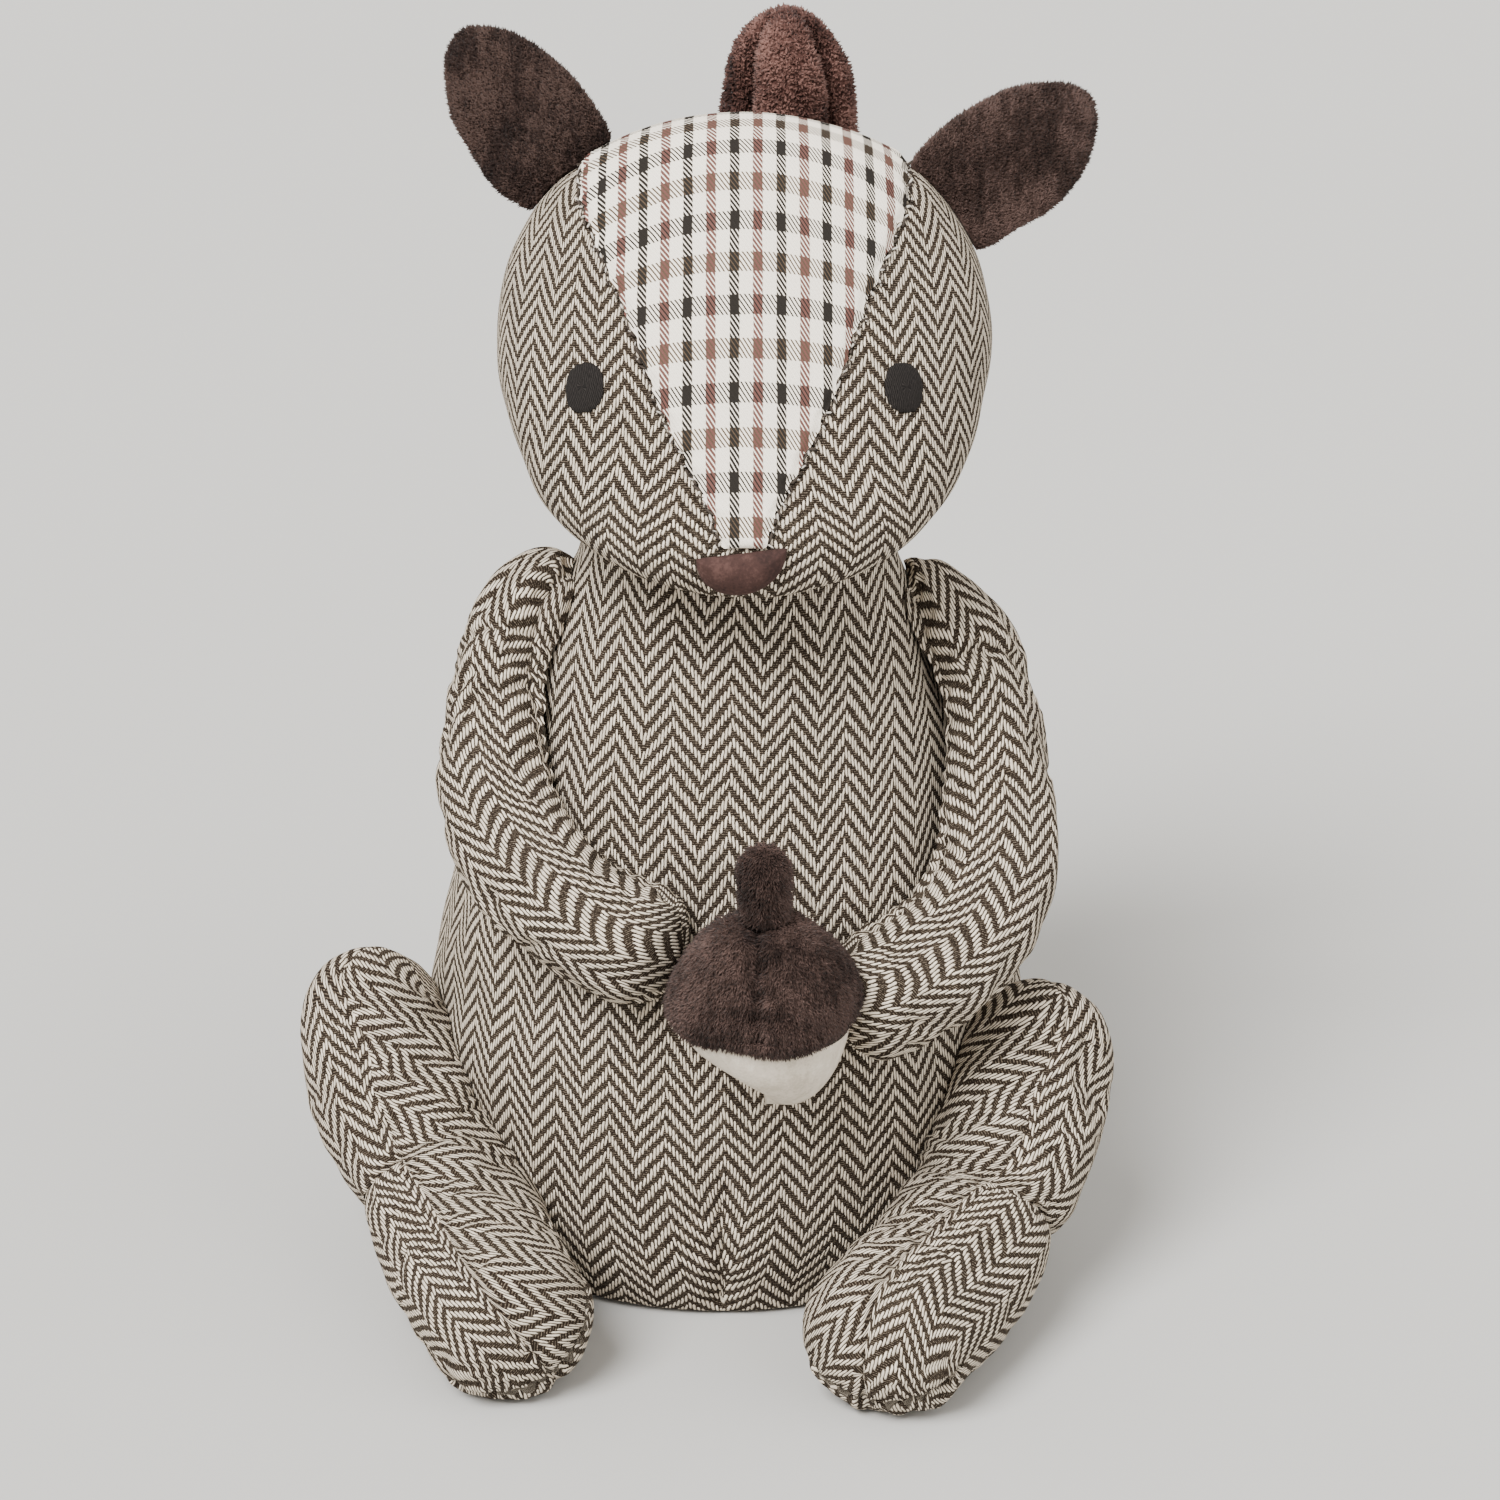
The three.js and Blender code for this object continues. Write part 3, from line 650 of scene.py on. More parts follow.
def away_from_body(points: Array) -> Array:
    """Level direction out from the body's axis."""
    return unit(np.stack([points[:, 0] - BODY.middle(points[:, 2]), points[:, 1], 0 * points[:, 2]], axis=1))


def always(x: float, y: float, z: float) -> Callable[[Array], Array]:
    """The same direction for every point."""
    return lambda points: np.broadcast_to(np.array([x, y, z], float), points.shape)


# Node trees

Value = Union["Wire", float, tuple]
Build = Callable[["Graph", dict[str, "Wire"]], dict[str, "Wire"]]


@dataclass(frozen=True)
class Wire:
    """A node's output, on which plain sums add nodes."""

    graph: Graph
    socket: bpy.types.NodeSocket

    @property
    def flat(self) -> bool:
        """Whether it carries one number."""
        return self.socket.type in ("VALUE", "INT")

    def done(self, operation: str, *others: Value) -> Wire:
        """Result of a node's sum with numbers, tuples or other wires."""
        return self.graph.math(operation, self, *others)

    def __add__(self, other: Value) -> Wire:
        """Sum."""
        return self.done("ADD", other)

    def __sub__(self, other: Value) -> Wire:
        """Difference."""
        return self.done("SUBTRACT", other)

    def __rsub__(self, other: Value) -> Wire:
        """Difference from a number."""
        return self.graph.math("SUBTRACT", other, self)

    def __mul__(self, other: Value) -> Wire:
        """Product, also of a vector with a number."""
        if self.flat or isinstance(other, tuple):
            return self.done("MULTIPLY", other)
        return self.graph.add("ShaderNodeVectorMath", feeds={0: self, "Scale": other}, operation="SCALE")

    def __truediv__(self, other: Value) -> Wire:
        """Quotient."""
        return self.done("DIVIDE", other)

    def ranged(self, low: float, high: float, to_low: float = 0.0, to_high: float = 1.0) -> Wire:
        """The value moved from one range to another, smoothly and within its ends."""
        feeds = {0: self, 1: low, 2: high, 3: to_low, 4: to_high}
        return self.graph.add("ShaderNodeMapRange", feeds=feeds, interpolation_type="SMOOTHSTEP")

    def beside(self, output: int | str) -> Wire:
        """Another output of the same node."""
        return Wire(self.graph, self.socket.node.outputs[output])

    def parts(self) -> list[Wire]:
        """A vector's three numbers."""
        split = self.graph.add("ShaderNodeSeparateXYZ", feeds={0: self})
        return [split.beside(part) for part in range(3)]


class Graph:
    """Builds a node tree from plain calls."""

    def __init__(self, tree: bpy.types.NodeTree) -> None:
        """Starts on a tree."""
        self.tree = tree

    def add(self, kind: str, out: int | str = 0, feeds: dict | None = None, **settings) -> Wire:
        """Adds a node.

        Args:
            kind: the node's type.
            out: the output that is wanted.
            feeds: values or wires for its inputs, by name or number.
            settings: the node's own settings.

        Returns:
            The wanted output.
        """
        node = self.tree.nodes.new(kind)
        for key, value in settings.items():
            setattr(node, key, value)
        for key, value in (feeds or {}).items():
            self.feed(node.inputs[key], value)
        return Wire(self, node.outputs[out])

    def feed(self, entry: bpy.types.NodeSocket, value: Value | str | bpy.types.Material) -> None:
        """Links a wire to an input or gives it a plain value."""
        if isinstance(value, Wire):
            self.tree.links.new(value.socket, entry)
        else:
            entry.default_value = value

    def math(self, operation: str, *values: Value) -> Wire:
        """Adds a sum, on vectors where a value is one."""
        flat = all(value.flat if isinstance(value, Wire) else not isinstance(value, tuple) for value in values)
        kind = "ShaderNodeMath" if flat else "ShaderNodeVectorMath"
        return self.add(kind, feeds=dict(enumerate(values)), operation=operation)

    def mix(self, factor: Value, first: Value, second: Value, blend: str = "MIX") -> Wire:
        """Mixes two colours."""
        feeds = {0: factor, 6: first, 7: second}
        return self.add("ShaderNodeMix", 2, feeds, data_type="RGBA", blend_type=blend)

    def noise(self, vector: Wire, scale: float, detail: float = 2.0, out: int = 0) -> Wire:
        """Adds noise: output 0 is its value and 1 its colour."""
        return self.add("ShaderNodeTexNoise", out, {"Vector": vector, "Scale": scale, "Detail": detail})

    def shifted(self, vector: Wire, scale: float, detail: float, size: float) -> Wire:
        """A small wandering shift, even about zero."""
        return (self.noise(vector, scale, detail, 1) - (0.5, 0.5, 0.5)) * size

    def chance(self, out: int, low: Value, high: Value, seed: Value, kind: str = "FLOAT") -> Wire:
        """Adds a random number (output 1) or vector (output 0) for each point."""
        keys = ("Min", "Max") if kind == "FLOAT_VECTOR" else (2, 3)
        feeds = {keys[0]: low, keys[1]: high, "Seed": seed}
        return self.add("FunctionNodeRandomValue", out, feeds, data_type=kind)

    def swung(self, most: Wire, seed: Wire) -> Wire:
        """A random vector whose parts lie within a reach on both sides of zero."""
        most = self.add("ShaderNodeVectorMath", feeds={0: (1.0, 1.0, 1.0), "Scale": most}, operation="SCALE")
        return self.chance(0, most * (-1.0, -1.0, -1.0), most, seed, "FLOAT_VECTOR")

    def scattered(self, points: Wire, instance: Wire, turned: Wire, sizes: tuple[float, float], seed: Wire) -> Wire:
        """Plain smooth geometry of an instance on every point.

        Args:
            points: where they stand.
            instance: what stands there.
            turned: rotation of each.
            sizes: least and most random size.
            seed: choice of sizes.

        Returns:
            The geometry.
        """
        size = self.chance(1, *sizes, seed)
        feeds = {"Points": points, "Instance": instance, "Rotation": turned, "Scale": size}
        placed = self.add("GeometryNodeInstanceOnPoints", feeds=feeds)
        real = self.add("GeometryNodeRealizeInstances", feeds={0: placed})
        return self.add("GeometryNodeSetShadeSmooth", feeds={0: real})


SOCKETS = {
    "number": "NodeSocketFloat", "whole": "NodeSocketInt", "vector": "NodeSocketVector",
    "colour": "NodeSocketColor", "geometry": "NodeSocketGeometry", "material": "NodeSocketMaterial",
}


def shared(name: str, inputs: dict[str, str], outputs: dict[str, str], build: Build) -> bpy.types.NodeTree:
    """A node group that is built once, for geometry where its outputs hold some.

    Args:
        name: the group's name.
        inputs: names of its inputs, with commas between them, by their kind.
        outputs: the same for its outputs.
        build: takes the graph and the inputs by name, and gives the outputs by name.

    Returns:
        The group.
    """
    if name in bpy.data.node_groups:
        return bpy.data.node_groups[name]
    tree = bpy.data.node_groups.new(name, "GeometryNodeTree" if "geometry" in outputs else "ShaderNodeTree")
    for side, kinds in (("INPUT", inputs), ("OUTPUT", outputs)):
        for kind, keys in kinds.items():
            for key in keys.split(", "):
                tree.interface.new_socket(key, in_out=side, socket_type=SOCKETS[kind])
    graph = Graph(tree)
    entry = tree.nodes.new("NodeGroupInput")
    made = build(graph, {socket.name: Wire(graph, socket) for socket in entry.outputs if socket.name})
    end = tree.nodes.new("NodeGroupOutput")
    for key, wire in made.items():
        graph.feed(end.inputs[key], wire)
    return tree


def run_tree(piece: bpy.types.Object, tree: bpy.types.NodeTree, values: dict) -> bpy.types.Object:
    """The piece after a geometry group, as one plain mesh.

    Args:
        piece: what the group starts from.
        tree: the group.
        values: its inputs by name.

    Returns:
        The piece.
    """
    modifier = piece.modifiers.new("growth", "NODES")
    modifier.node_group = tree
    for item in tree.interface.items_tree:
        if item.in_out == "INPUT" and item.name in values:
            modifier[item.identifier] = values[item.name]
    return baked(piece)


# Weaves and naps, each with a colour and a height

COLOUR_AND_HEIGHT = {"colour": "Colour", "number": "Height"}
STRIPE = ("pitch", "start", "width")


def herringbone() -> bpy.types.NodeTree:
    """Group that weaves pale slubs in dark ground as a herringbone."""

    def build(g: Graph, given: dict[str, Wire]) -> dict[str, Wire]:
        """Adds the nodes."""
        flat, half = given["Map"], given["Half repeat"]
        # The cloth wanders a little, at three sizes
        place = flat + (g.shifted(flat, 0.22, 2.0, 0.7) + g.shifted(flat, 0.035, 1.0, 2.6))
        place = place + g.shifted(flat, 1.3, 1.0, 0.22)
        u, v, _ = place.parts()
        # Columns, each leaning one way or the other, and picks along them
        x = u / given["Column"]
        column = x.done("FLOOR")
        across = x.done("FRACT") - 0.5
        rising = ((column + 0.5) / (half * 2.0)).done("FRACT").done("LESS_THAN", 0.5)
        sign = rising * 2.0 - 1.0
        y = v / given["Pitch"] + column.done("PINGPONG", half) * 0.25
        along = y.done("FRACT") - 0.5
        cell = g.add("ShaderNodeCombineXYZ", feeds={0: column, 1: y.done("FLOOR")})
        chance = g.add("ShaderNodeTexWhiteNoise", feeds={"Vector": cell}, noise_dimensions="2D")
        # Rounded slubs, positive inside and falling off outside
        leant = across + along * sign * 0.6
        wide = (leant / chance.ranged(0.0, 1.0, 0.31, 0.37)).done("ABSOLUTE").done("POWER", 2.4)
        long = (along / chance.ranged(0.0, 1.0, 0.3, 0.38)).done("ABSOLUTE").done("POWER", 3.4)
        full = 1.0 - (wide + long)
        # Dark ground with pale ticks, and slubs that darken at random here and there and, as painted shade, towards
        # their edges
        fibre = g.noise(place * (5.0, 1.6, 1.0), 1.0, 3.0)
        tick = (v * 2.1).done("PINGPONG", 0.5).ranged(0.26, 0.44) * fibre.ranged(0.42, 0.62)
        ground = g.mix(tick * 0.5, given["Ground"], given["Tick"])
        pale = g.mix(chance.ranged(0.0, 1.0, 0.0, 0.35), given["Slub"], given["Tick"])
        patchy = g.noise(flat, 0.09, 3.0).ranged(0.3, 0.7, 0.14, 0.0)
        pale = g.mix(fibre.ranged(0.34, 0.6, 0.3, 0.0), pale, given["Ground"])
        # Random patches, and painted shade that darkens each slub towards its edges, for the shade between slubs
        pale = g.mix(patchy + full.ranged(0.0, 0.6, 0.35, 0.0), pale, given["Ground"])
        rise = full.done("MAXIMUM", 0.0).done("SQRT")
        return {"Colour": g.mix(full.ranged(-0.12, 0.22), ground, pale), "Height": rise + fibre * 0.25}

    inputs = {"vector": "Map", "number": "Column, Pitch, Half repeat", "colour": "Slub, Ground, Tick"}
    return shared("herringbone", inputs, COLOUR_AND_HEIGHT, build)


def shirting_check() -> bpy.types.NodeTree:
    """Group that weaves a small two-colour check in twill."""

    def build(g: Graph, given: dict[str, Wire]) -> dict[str, Wire]:
        """Adds the nodes."""
        place = given["Map"] + g.shifted(given["Map"], 0.12, 1.0, 0.5)
        u, v, _ = place.parts()

        def stripes(across: Wire, yarn: str, first: str) -> tuple[Wire, Wire]:
            """Mask and colour of one yarn's stripes, of two colours in turn."""
            pitch, start, width = (given[f"{yarn} {key}"] for key in STRIPE)
            share = (across - start) / pitch + 0.5
            off = (share.done("FRACT") - 0.5).done("ABSOLUTE") * pitch
            odd = (share.done("FLOOR") + 100.0).done("MODULO", 2.0)
            return (off - width * 0.5).ranged(-0.12, 0.12, 1.0, 0.0), g.mix(odd, given[first], given["Black"])

        warp, warp_colour = stripes(u, "Warp", "Rose")
        weft, weft_colour = stripes(v, "Weft", "Brown")
        # Twill: the warp shows between slanting ribs
        grain = g.noise(place * (4.0, 4.0, 1.0), 1.0, 2.0)
        rib = ((u + v * 0.64) / 0.9).done("PINGPONG", 0.5) * 2.0 + (grain - 0.5) * 0.35
        shows = (warp * 0.06 + 0.6 - rib).ranged(-0.07, 0.07)
        warp_yarn = g.mix(warp, given["Cream"], warp_colour)
        weft_yarn = g.mix(weft, given["Cream"], weft_colour)
        colour = g.mix(shows, weft_yarn, warp_yarn)
        colour = g.mix(grain.ranged(0.3, 0.7, 0.5, 0.0), colour, given["Shade"], "MULTIPLY")
        return {"Colour": colour, "Height": shows + grain}

    numbers = ", ".join(f"{yarn} {key}" for yarn in ("Warp", "Weft") for key in STRIPE)
    inputs = {"vector": "Map", "number": numbers, "colour": "Cream, Rose, Brown, Black, Shade"}
    return shared("shirting check", inputs, COLOUR_AND_HEIGHT, build)


def napped() -> bpy.types.NodeTree:
    """Group for pile and suede: patches where the nap lies differently, and fine fibres."""

    def build(g: Graph, given: dict[str, Wire]) -> dict[str, Wire]:
        """Adds the nodes."""
        patches = g.noise(given["Place"], 0.075, 3.0)
        strokes = g.noise(given["Place"] * (0.5, 0.5, 0.2), 1.0, 3.0)
        fibre = g.noise(given["Place"], 1.6, 3.0)
        lit = patches * 0.45 + strokes * 0.3 + fibre * 0.25
        lit = (lit + given["Tip"] * 0.12).ranged(0.36, 0.68)
        low = g.mix(lit.ranged(0.0, 0.5), given["Deep"], given["Pile"])
        return {"Colour": g.mix(lit.ranged(0.5, 1.0), low, given["Bright"]), "Height": fibre + strokes * 0.6}

    inputs = {"vector": "Place", "number": "Tip", "colour": "Deep, Pile, Bright"}
    return shared("nap", inputs, COLOUR_AND_HEIGHT, build)


def in_millimetres(graph: Graph) -> Wire:
    """Object coordinates in millimetres."""
    return graph.add("ShaderNodeTexCoord", "Object") * 1000.0


def on_cloth(graph: Graph) -> Wire:
    """The piece's own cloth map, in millimetres."""
    return graph.add("ShaderNodeUVMap", uv_map=CLOTH_MAP)


def principled(name: str) -> tuple[bpy.types.Material, Graph, bpy.types.Node]:
    """New material with its graph and its shader."""
    material = bpy.data.materials.new(name)
    material.use_nodes = True
    return material, Graph(material.node_tree), material.node_tree.nodes["Principled BSDF"]


# Finishes


@dataclass(frozen=True)
class Finish:
    """Something a piece is dressed in. Relief is in millimetres."""

    name: str
    relief: float = 0.2
    roughness: float = 0.95
    gloss: float = 0.06
    sheen: float = 0.0

    def woven(self, g: Graph) -> tuple[Wire, Wire]:
        """Colour and height."""
        raise NotImplementedError

    def placed(self, g: Graph, tree: bpy.types.NodeTree, feeds: dict) -> tuple[Wire, Wire]:
        """Colour and height of a shared group."""
        colour = g.add("ShaderNodeGroup", "Colour", feeds, node_tree=tree)
        return colour, colour.beside("Height")

    def material(self) -> bpy.types.Material:
        """The finish's material, made once."""
        name = f"{self.name}_finish"
        if name in bpy.data.materials:
            return bpy.data.materials[name]
        material, g, shader = principled(name)
        colour, height = self.woven(g)
        feeds = {"Height": height, "Distance": self.relief * MM, "Strength": 1.0}
        surface = {
            "Base Color": colour, "Normal": g.add("ShaderNodeBump", feeds=feeds), "Roughness": self.roughness,
            "Specular IOR Level": self.gloss, "Sheen Weight": self.sheen,
        }
        for key, value in surface.items():
            g.feed(shader.inputs[key], value)
        return material


@dataclass(frozen=True)
class Tweed(Finish):
    """Herringbone tweed of cream slubs on dark brown."""

    name: str = "herringbone_tweed"
    relief: float = 0.4
    roughness: float = 0.97
    column: float = 0.8
    pitch: float = 4.0
    half_repeat: float = 8

    def woven(self, g: Graph) -> tuple[Wire, Wire]:
        """Colour and height."""
        return self.placed(g, herringbone(), {
            "Map": on_cloth(g), "Column": self.column, "Pitch": self.pitch, "Half repeat": self.half_repeat,
            "Slub": paint(255, 240, 218), "Ground": paint(36, 29, 23), "Tick": paint(168, 153, 134),
        })


@dataclass(frozen=True)
class CheckCotton(Finish):
    """Cream shirting with a check of rose-brown and black. Stripes have a pitch, a start and a width."""

    name: str = "check_cotton"
    relief: float = 0.06
    warp: tuple[float, float, float] = (4.825, 2.83, 2.05)
    weft: tuple[float, float, float] = (9.2, 4.4, 4.3)

    def woven(self, g: Graph) -> tuple[Wire, Wire]:
        """Colour and height."""
        feeds = {
            "Map": on_cloth(g), "Cream": paint(255, 246, 231), "Rose": paint(104, 72, 66),
            "Brown": paint(84, 71, 58), "Black": paint(42, 39, 36), "Shade": paint(220, 214, 206),
        }
        for yarn, stripes in (("Warp", self.warp), ("Weft", self.weft)):
            feeds |= {f"{yarn} {key}": value for key, value in zip(STRIPE, stripes)}
        return self.placed(g, shirting_check(), feeds)


class Shades(Enum):
    """Colours of a nap: deep, pile and bright."""

    DARK = ((20, 13, 11), (42, 30, 26), (72, 56, 50))
    # Acorn cap plush, also worn by the right ear as a lighter copy of the ear plush: painted light on that ear
    BRUSHED = ((30, 20, 17), (57, 43, 38), (91, 72, 66))
    ROSE = ((38, 23, 20), (76, 51, 45), (120, 88, 80))
    VELVET = ((43, 27, 24), (58, 38, 34), (77, 54, 49))
    SUEDE = ((182, 171, 154), (201, 190, 174), (215, 205, 190))


@dataclass(frozen=True)
class Nap(Finish):
    """Plush with tufts, or smooth cloth with a fine nap."""

    shades: Shades = Shades.DARK
    relief: float = 0.35
    gloss: float = 0.15
    sheen: float = 0.05
    tufted: bool = True

    def woven(self, g: Graph) -> tuple[Wire, Wire]:
        """Colour and height."""
        tip = g.add("ShaderNodeAttribute", "Fac", attribute_name="tip") if self.tufted else 0.0
        deep, pile, bright = (paint(*shade) for shade in self.shades.value)
        feeds = {"Place": in_millimetres(g), "Tip": tip, "Deep": deep, "Pile": pile, "Bright": bright}
        return self.placed(g, napped(), feeds)


@dataclass(frozen=True)
class SatinStitch(Finish):
    """Close parallel embroidery threads."""

    name: str = "eye_thread"
    relief: float = 0.22
    roughness: float = 0.8
    gloss: float = 0.12
    thread: float = 0.42

    def woven(self, g: Graph) -> tuple[Wire, Wire]:
        """Colour and height."""
        place = on_cloth(g)
        u, v, _ = place.parts()
        across = u + v * 0.25 + g.noise(place, 0.8, 2.0) * 0.5
        ridge = (across / self.thread).done("PINGPONG", 0.5)
        fibre = g.noise(place * (6.0, 1.2, 1.0), 1.0, 3.0)
        # Each thread is painted lighter along its crest and darker in the groove beside it, as painted highlight
        # and shade, with random fibre tone
        return g.mix((ridge + fibre).ranged(0.4, 1.1), paint(15, 13, 12), paint(42, 38, 36)), ridge + fibre * 0.4


@dataclass(frozen=True)
class Calico(Finish):
    """Plain weave of the inner sand bag."""

    name: str = "calico"
    gloss: float = 0.2

    def woven(self, g: Graph) -> tuple[Wire, Wire]:
        """Colour and height."""
        place = in_millimetres(g)
        x, y, z = place.parts()
        level, upright = ((yarn * 1.2).done("PINGPONG", 0.5) for yarn in (z, x + y))
        height = level.done("MAXIMUM", upright)
        # Lighter on the yarns' crests and darker between them, with random tone
        crest_tone = (height + g.noise(place, 0.4, 3.0)).ranged(0.5, 1.1)
        return g.mix(crest_tone, paint(176, 163, 143), paint(214, 204, 186)), height


@dataclass(frozen=True)
class SewingThread(Finish):
    """Twisted sewing thread."""

    relief: float = 0.05
    roughness: float = 0.8
    gloss: float = 0.3
    shade: tuple[int, int, int] = (0, 0, 0)

    def woven(self, g: Graph) -> tuple[Wire, Wire]:
        """Colour and height."""
        fibre = g.noise(in_millimetres(g), 6.0, 2.0)
        dull = (int(0.7 * part) for part in self.shade)
        return g.mix(fibre, paint(*dull), paint(*self.shade)), fibre


TWEED = Tweed()
CHECK = CheckCotton()
DARK_PLUSH = Nap("dark_plush", shades=Shades.DARK)
LIT_EAR_AND_CAP_PLUSH = Nap("brushed_plush", shades=Shades.BRUSHED)
ROSE_PLUSH = Nap("tail_plush", shades=Shades.ROSE)
SMOOTH = {"roughness": 0.86, "gloss": 0.25, "sheen": 0.0, "tufted": False}
VELVET = Nap("nose_velvet", relief=0.1, shades=Shades.VELVET, **SMOOTH)
SUEDE = Nap("nut_suede", relief=0.12, shades=Shades.SUEDE, **SMOOTH)
EYE_THREAD = SatinStitch()
CALICO = Calico()
DARK_THREAD = SewingThread("dark_thread", shade=(66, 57, 49))
PALE_THREAD = SewingThread("pale_thread", shade=(222, 214, 202))


def dressed(piece: bpy.types.Object, finish: Finish, node: str | None) -> None:
    """Gives a finished piece its material, hangs it under the root and hides the solid that it stands for.

    Args:
        piece: the piece, with plain mesh data.
        finish: what it is dressed in.
        node: the solid that it stands for, if any.
    """
    piece.data.materials.clear()
    piece.data.materials.append(finish.material())
    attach(piece, "root")
    if node:
        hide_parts(node)
    LOG.info("%s: %d faces, %s", piece.name, len(piece.data.polygons), finish.name)


# What repeats on the cloth

TUFT_BEND = 0.35
TUFT_SIZES = (0.65, 1.2)
STITCH_SIZES = (0.6, 1.15)


@dataclass(frozen=True)
class Pile:
    """Tufts of plush spread over a piece. The cover gives the share of the density at points."""

    length: float
    width: float
    density: float
    lean: float
    seed: int
    comb: tuple[float, float, float] = (0.0, 0.0, 0.0)
    cover: Callable[[Array], Array | float] = lambda points: 1.0

    def tree(self) -> bpy.types.NodeTree:
        """Group that grows the tufts."""

        def build(g: Graph, given: dict[str, Wire]) -> dict[str, Wire]:
            """Adds the nodes."""
            cover = g.add("GeometryNodeInputNamedAttribute", "Attribute", {"Name": "nap"}, data_type="FLOAT")
            feeds = {"Mesh": given["Cloth"], "Density": cover * given["Density"], "Seed": given["Seed"]}
            spread = g.add("GeometryNodeDistributePointsOnFaces", "Points", feeds)
            feeds = {"Vertices": 3, "Side Segments": 1, "Radius Top": 0.0}
            feeds |= {"Radius Bottom": given["Width"], "Depth": given["Length"]}
            cone = g.add("GeometryNodeMeshCone", feeds=feeds, fill_type="NONE")
            up = g.add("GeometryNodeInputPosition").parts()[2]
            share = up / given["Length"]
            feeds = {"Geometry": cone, "Name": "tip", "Value": share}
            tuft = g.add("GeometryNodeStoreNamedAttribute", feeds=feeds, data_type="FLOAT", domain="POINT")
            bent = g.add("ShaderNodeCombineXYZ", feeds={0: share * up * TUFT_BEND})
            tuft = g.add("GeometryNodeSetPosition", feeds={"Geometry": tuft, "Offset": bent})
            way = spread.beside("Normal") + given["Comb"] + g.swung(given["Lean"], given["Seed"])
            feeds = {"Axis": (0.0, 0.0, 1.0), "Angle": g.chance(1, 0.0, TURN, 7)}
            spin = g.add("FunctionNodeAxisAngleToRotation", feeds=feeds)
            turned = g.add("FunctionNodeAlignRotationToVector", feeds={"Rotation": spin, "Vector": way}, axis="Z")
            tufts = g.scattered(spread, tuft, turned, TUFT_SIZES, given["Seed"])
            joined = g.add("GeometryNodeJoinGeometry", feeds={0: tufts})
            g.feed(joined.socket.node.inputs[0], given["Cloth"])
            feeds = {"Geometry": joined, "Material": given["Material"]}
            return {"Plush": g.add("GeometryNodeSetMaterial", feeds=feeds)}

        inputs = {"geometry": "Cloth", "number": "Length, Width, Density, Lean", "whole": "Seed"}
        inputs |= {"vector": "Comb", "material": "Material"}
        return shared("plush tufts", inputs, {"geometry": "Plush"}, build)

    def grown(self, piece: bpy.types.Object, finish: Finish, bare: Callable[[Array], Array]) -> bpy.types.Object:
        """The piece with its tufts.

        Args:
            piece: the cloth that carries them.
            finish: the plush.
            bare: from points in millimetres to the room above them, in millimetres.

        Returns:
            The piece, one plain mesh.
        """
        points = vertices(piece.data)
        cover = self.cover(points) * eased(bare(points), 0.35 * self.length, self.length)
        piece.data.attributes.new("nap", "FLOAT", "POINT").data.foreach_set("value", cover.astype(np.float32))
        return run_tree(piece, self.tree(), {
            "Length": self.length * MM, "Width": self.width * MM, "Density": self.density / MM**2,
            "Lean": self.lean, "Seed": self.seed, "Comb": self.comb, "Material": finish.material(),
        })


@dataclass(frozen=True)
class Stitches:
    """Rows of small stitches along lines."""

    spacing: float
    length: float
    thick: float
    scatter: float
    seed: int

    def tree(self) -> bpy.types.NodeTree:
        """Group that sews the rows."""

        def build(g: Graph, given: dict[str, Wire]) -> dict[str, Wire]:
            """Adds the nodes."""
            curve = g.add("GeometryNodeMeshToCurve", feeds={0: given["Line"]})
            feeds = {"Curve": curve, "Length": given["Spacing"]}
            curve = g.add("GeometryNodeResampleCurve", feeds=feeds, mode="LENGTH")
            ball = g.add("GeometryNodeMeshUVSphere", feeds={"Segments": 6, "Rings": 4, "Radius": 0.5})
            size = g.add("ShaderNodeCombineXYZ", feeds={0: given["Length"], 1: given["Thick"], 2: given["Thick"]})
            stitch = g.add("GeometryNodeTransform", feeds={"Geometry": ball, "Scale": size})
            feeds = {"Vector": g.add("GeometryNodeInputTangent")}
            along = g.add("FunctionNodeAlignRotationToVector", feeds=feeds, axis="X")
            spin = g.add("FunctionNodeEulerToRotation", feeds={0: g.swung(given["Scatter"], given["Seed"])})
            turned = g.add("FunctionNodeRotateRotation", feeds={0: along, 1: spin}, rotation_space="LOCAL")
            rows = g.scattered(curve, stitch, turned, STITCH_SIZES, given["Seed"])
            feeds = {"Geometry": rows, "Material": given["Material"]}
            return {"Stitches": g.add("GeometryNodeSetMaterial", feeds=feeds)}

        inputs = {"geometry": "Line", "number": "Spacing, Length, Thick, Scatter", "whole": "Seed"}
        inputs |= {"material": "Material"}
        return shared("stitch row", inputs, {"geometry": "Stitches"}, build)

    def sewn(self, name: str, lines: Sequence[Array], finish: Finish, slot: str) -> None:
        """Makes and dresses the stitches along lines, as one piece.

        Args:
            name: piece name.
            lines: points of each line in millimetres.
            finish: the thread.
            slot: not used.
        """
        mesh = bpy.data.meshes.new(name)
        spots, edges = [], []
        for line in lines:
            first = len(spots)
            spots += [tuple(spot) for spot in line * MM]
            edges += [(first + i, first + i + 1) for i in range(len(line) - 1)]
        mesh.from_pydata(spots, edges, [])
        piece = added(name, mesh)
        run_tree(piece, self.tree(), {
            "Spacing": self.spacing * MM, "Length": self.length * MM, "Thick": self.thick * MM,
            "Scatter": self.scatter, "Seed": self.seed, "Material": finish.material(),
        })
        dressed(piece, finish, None)


# Sub-assemblies


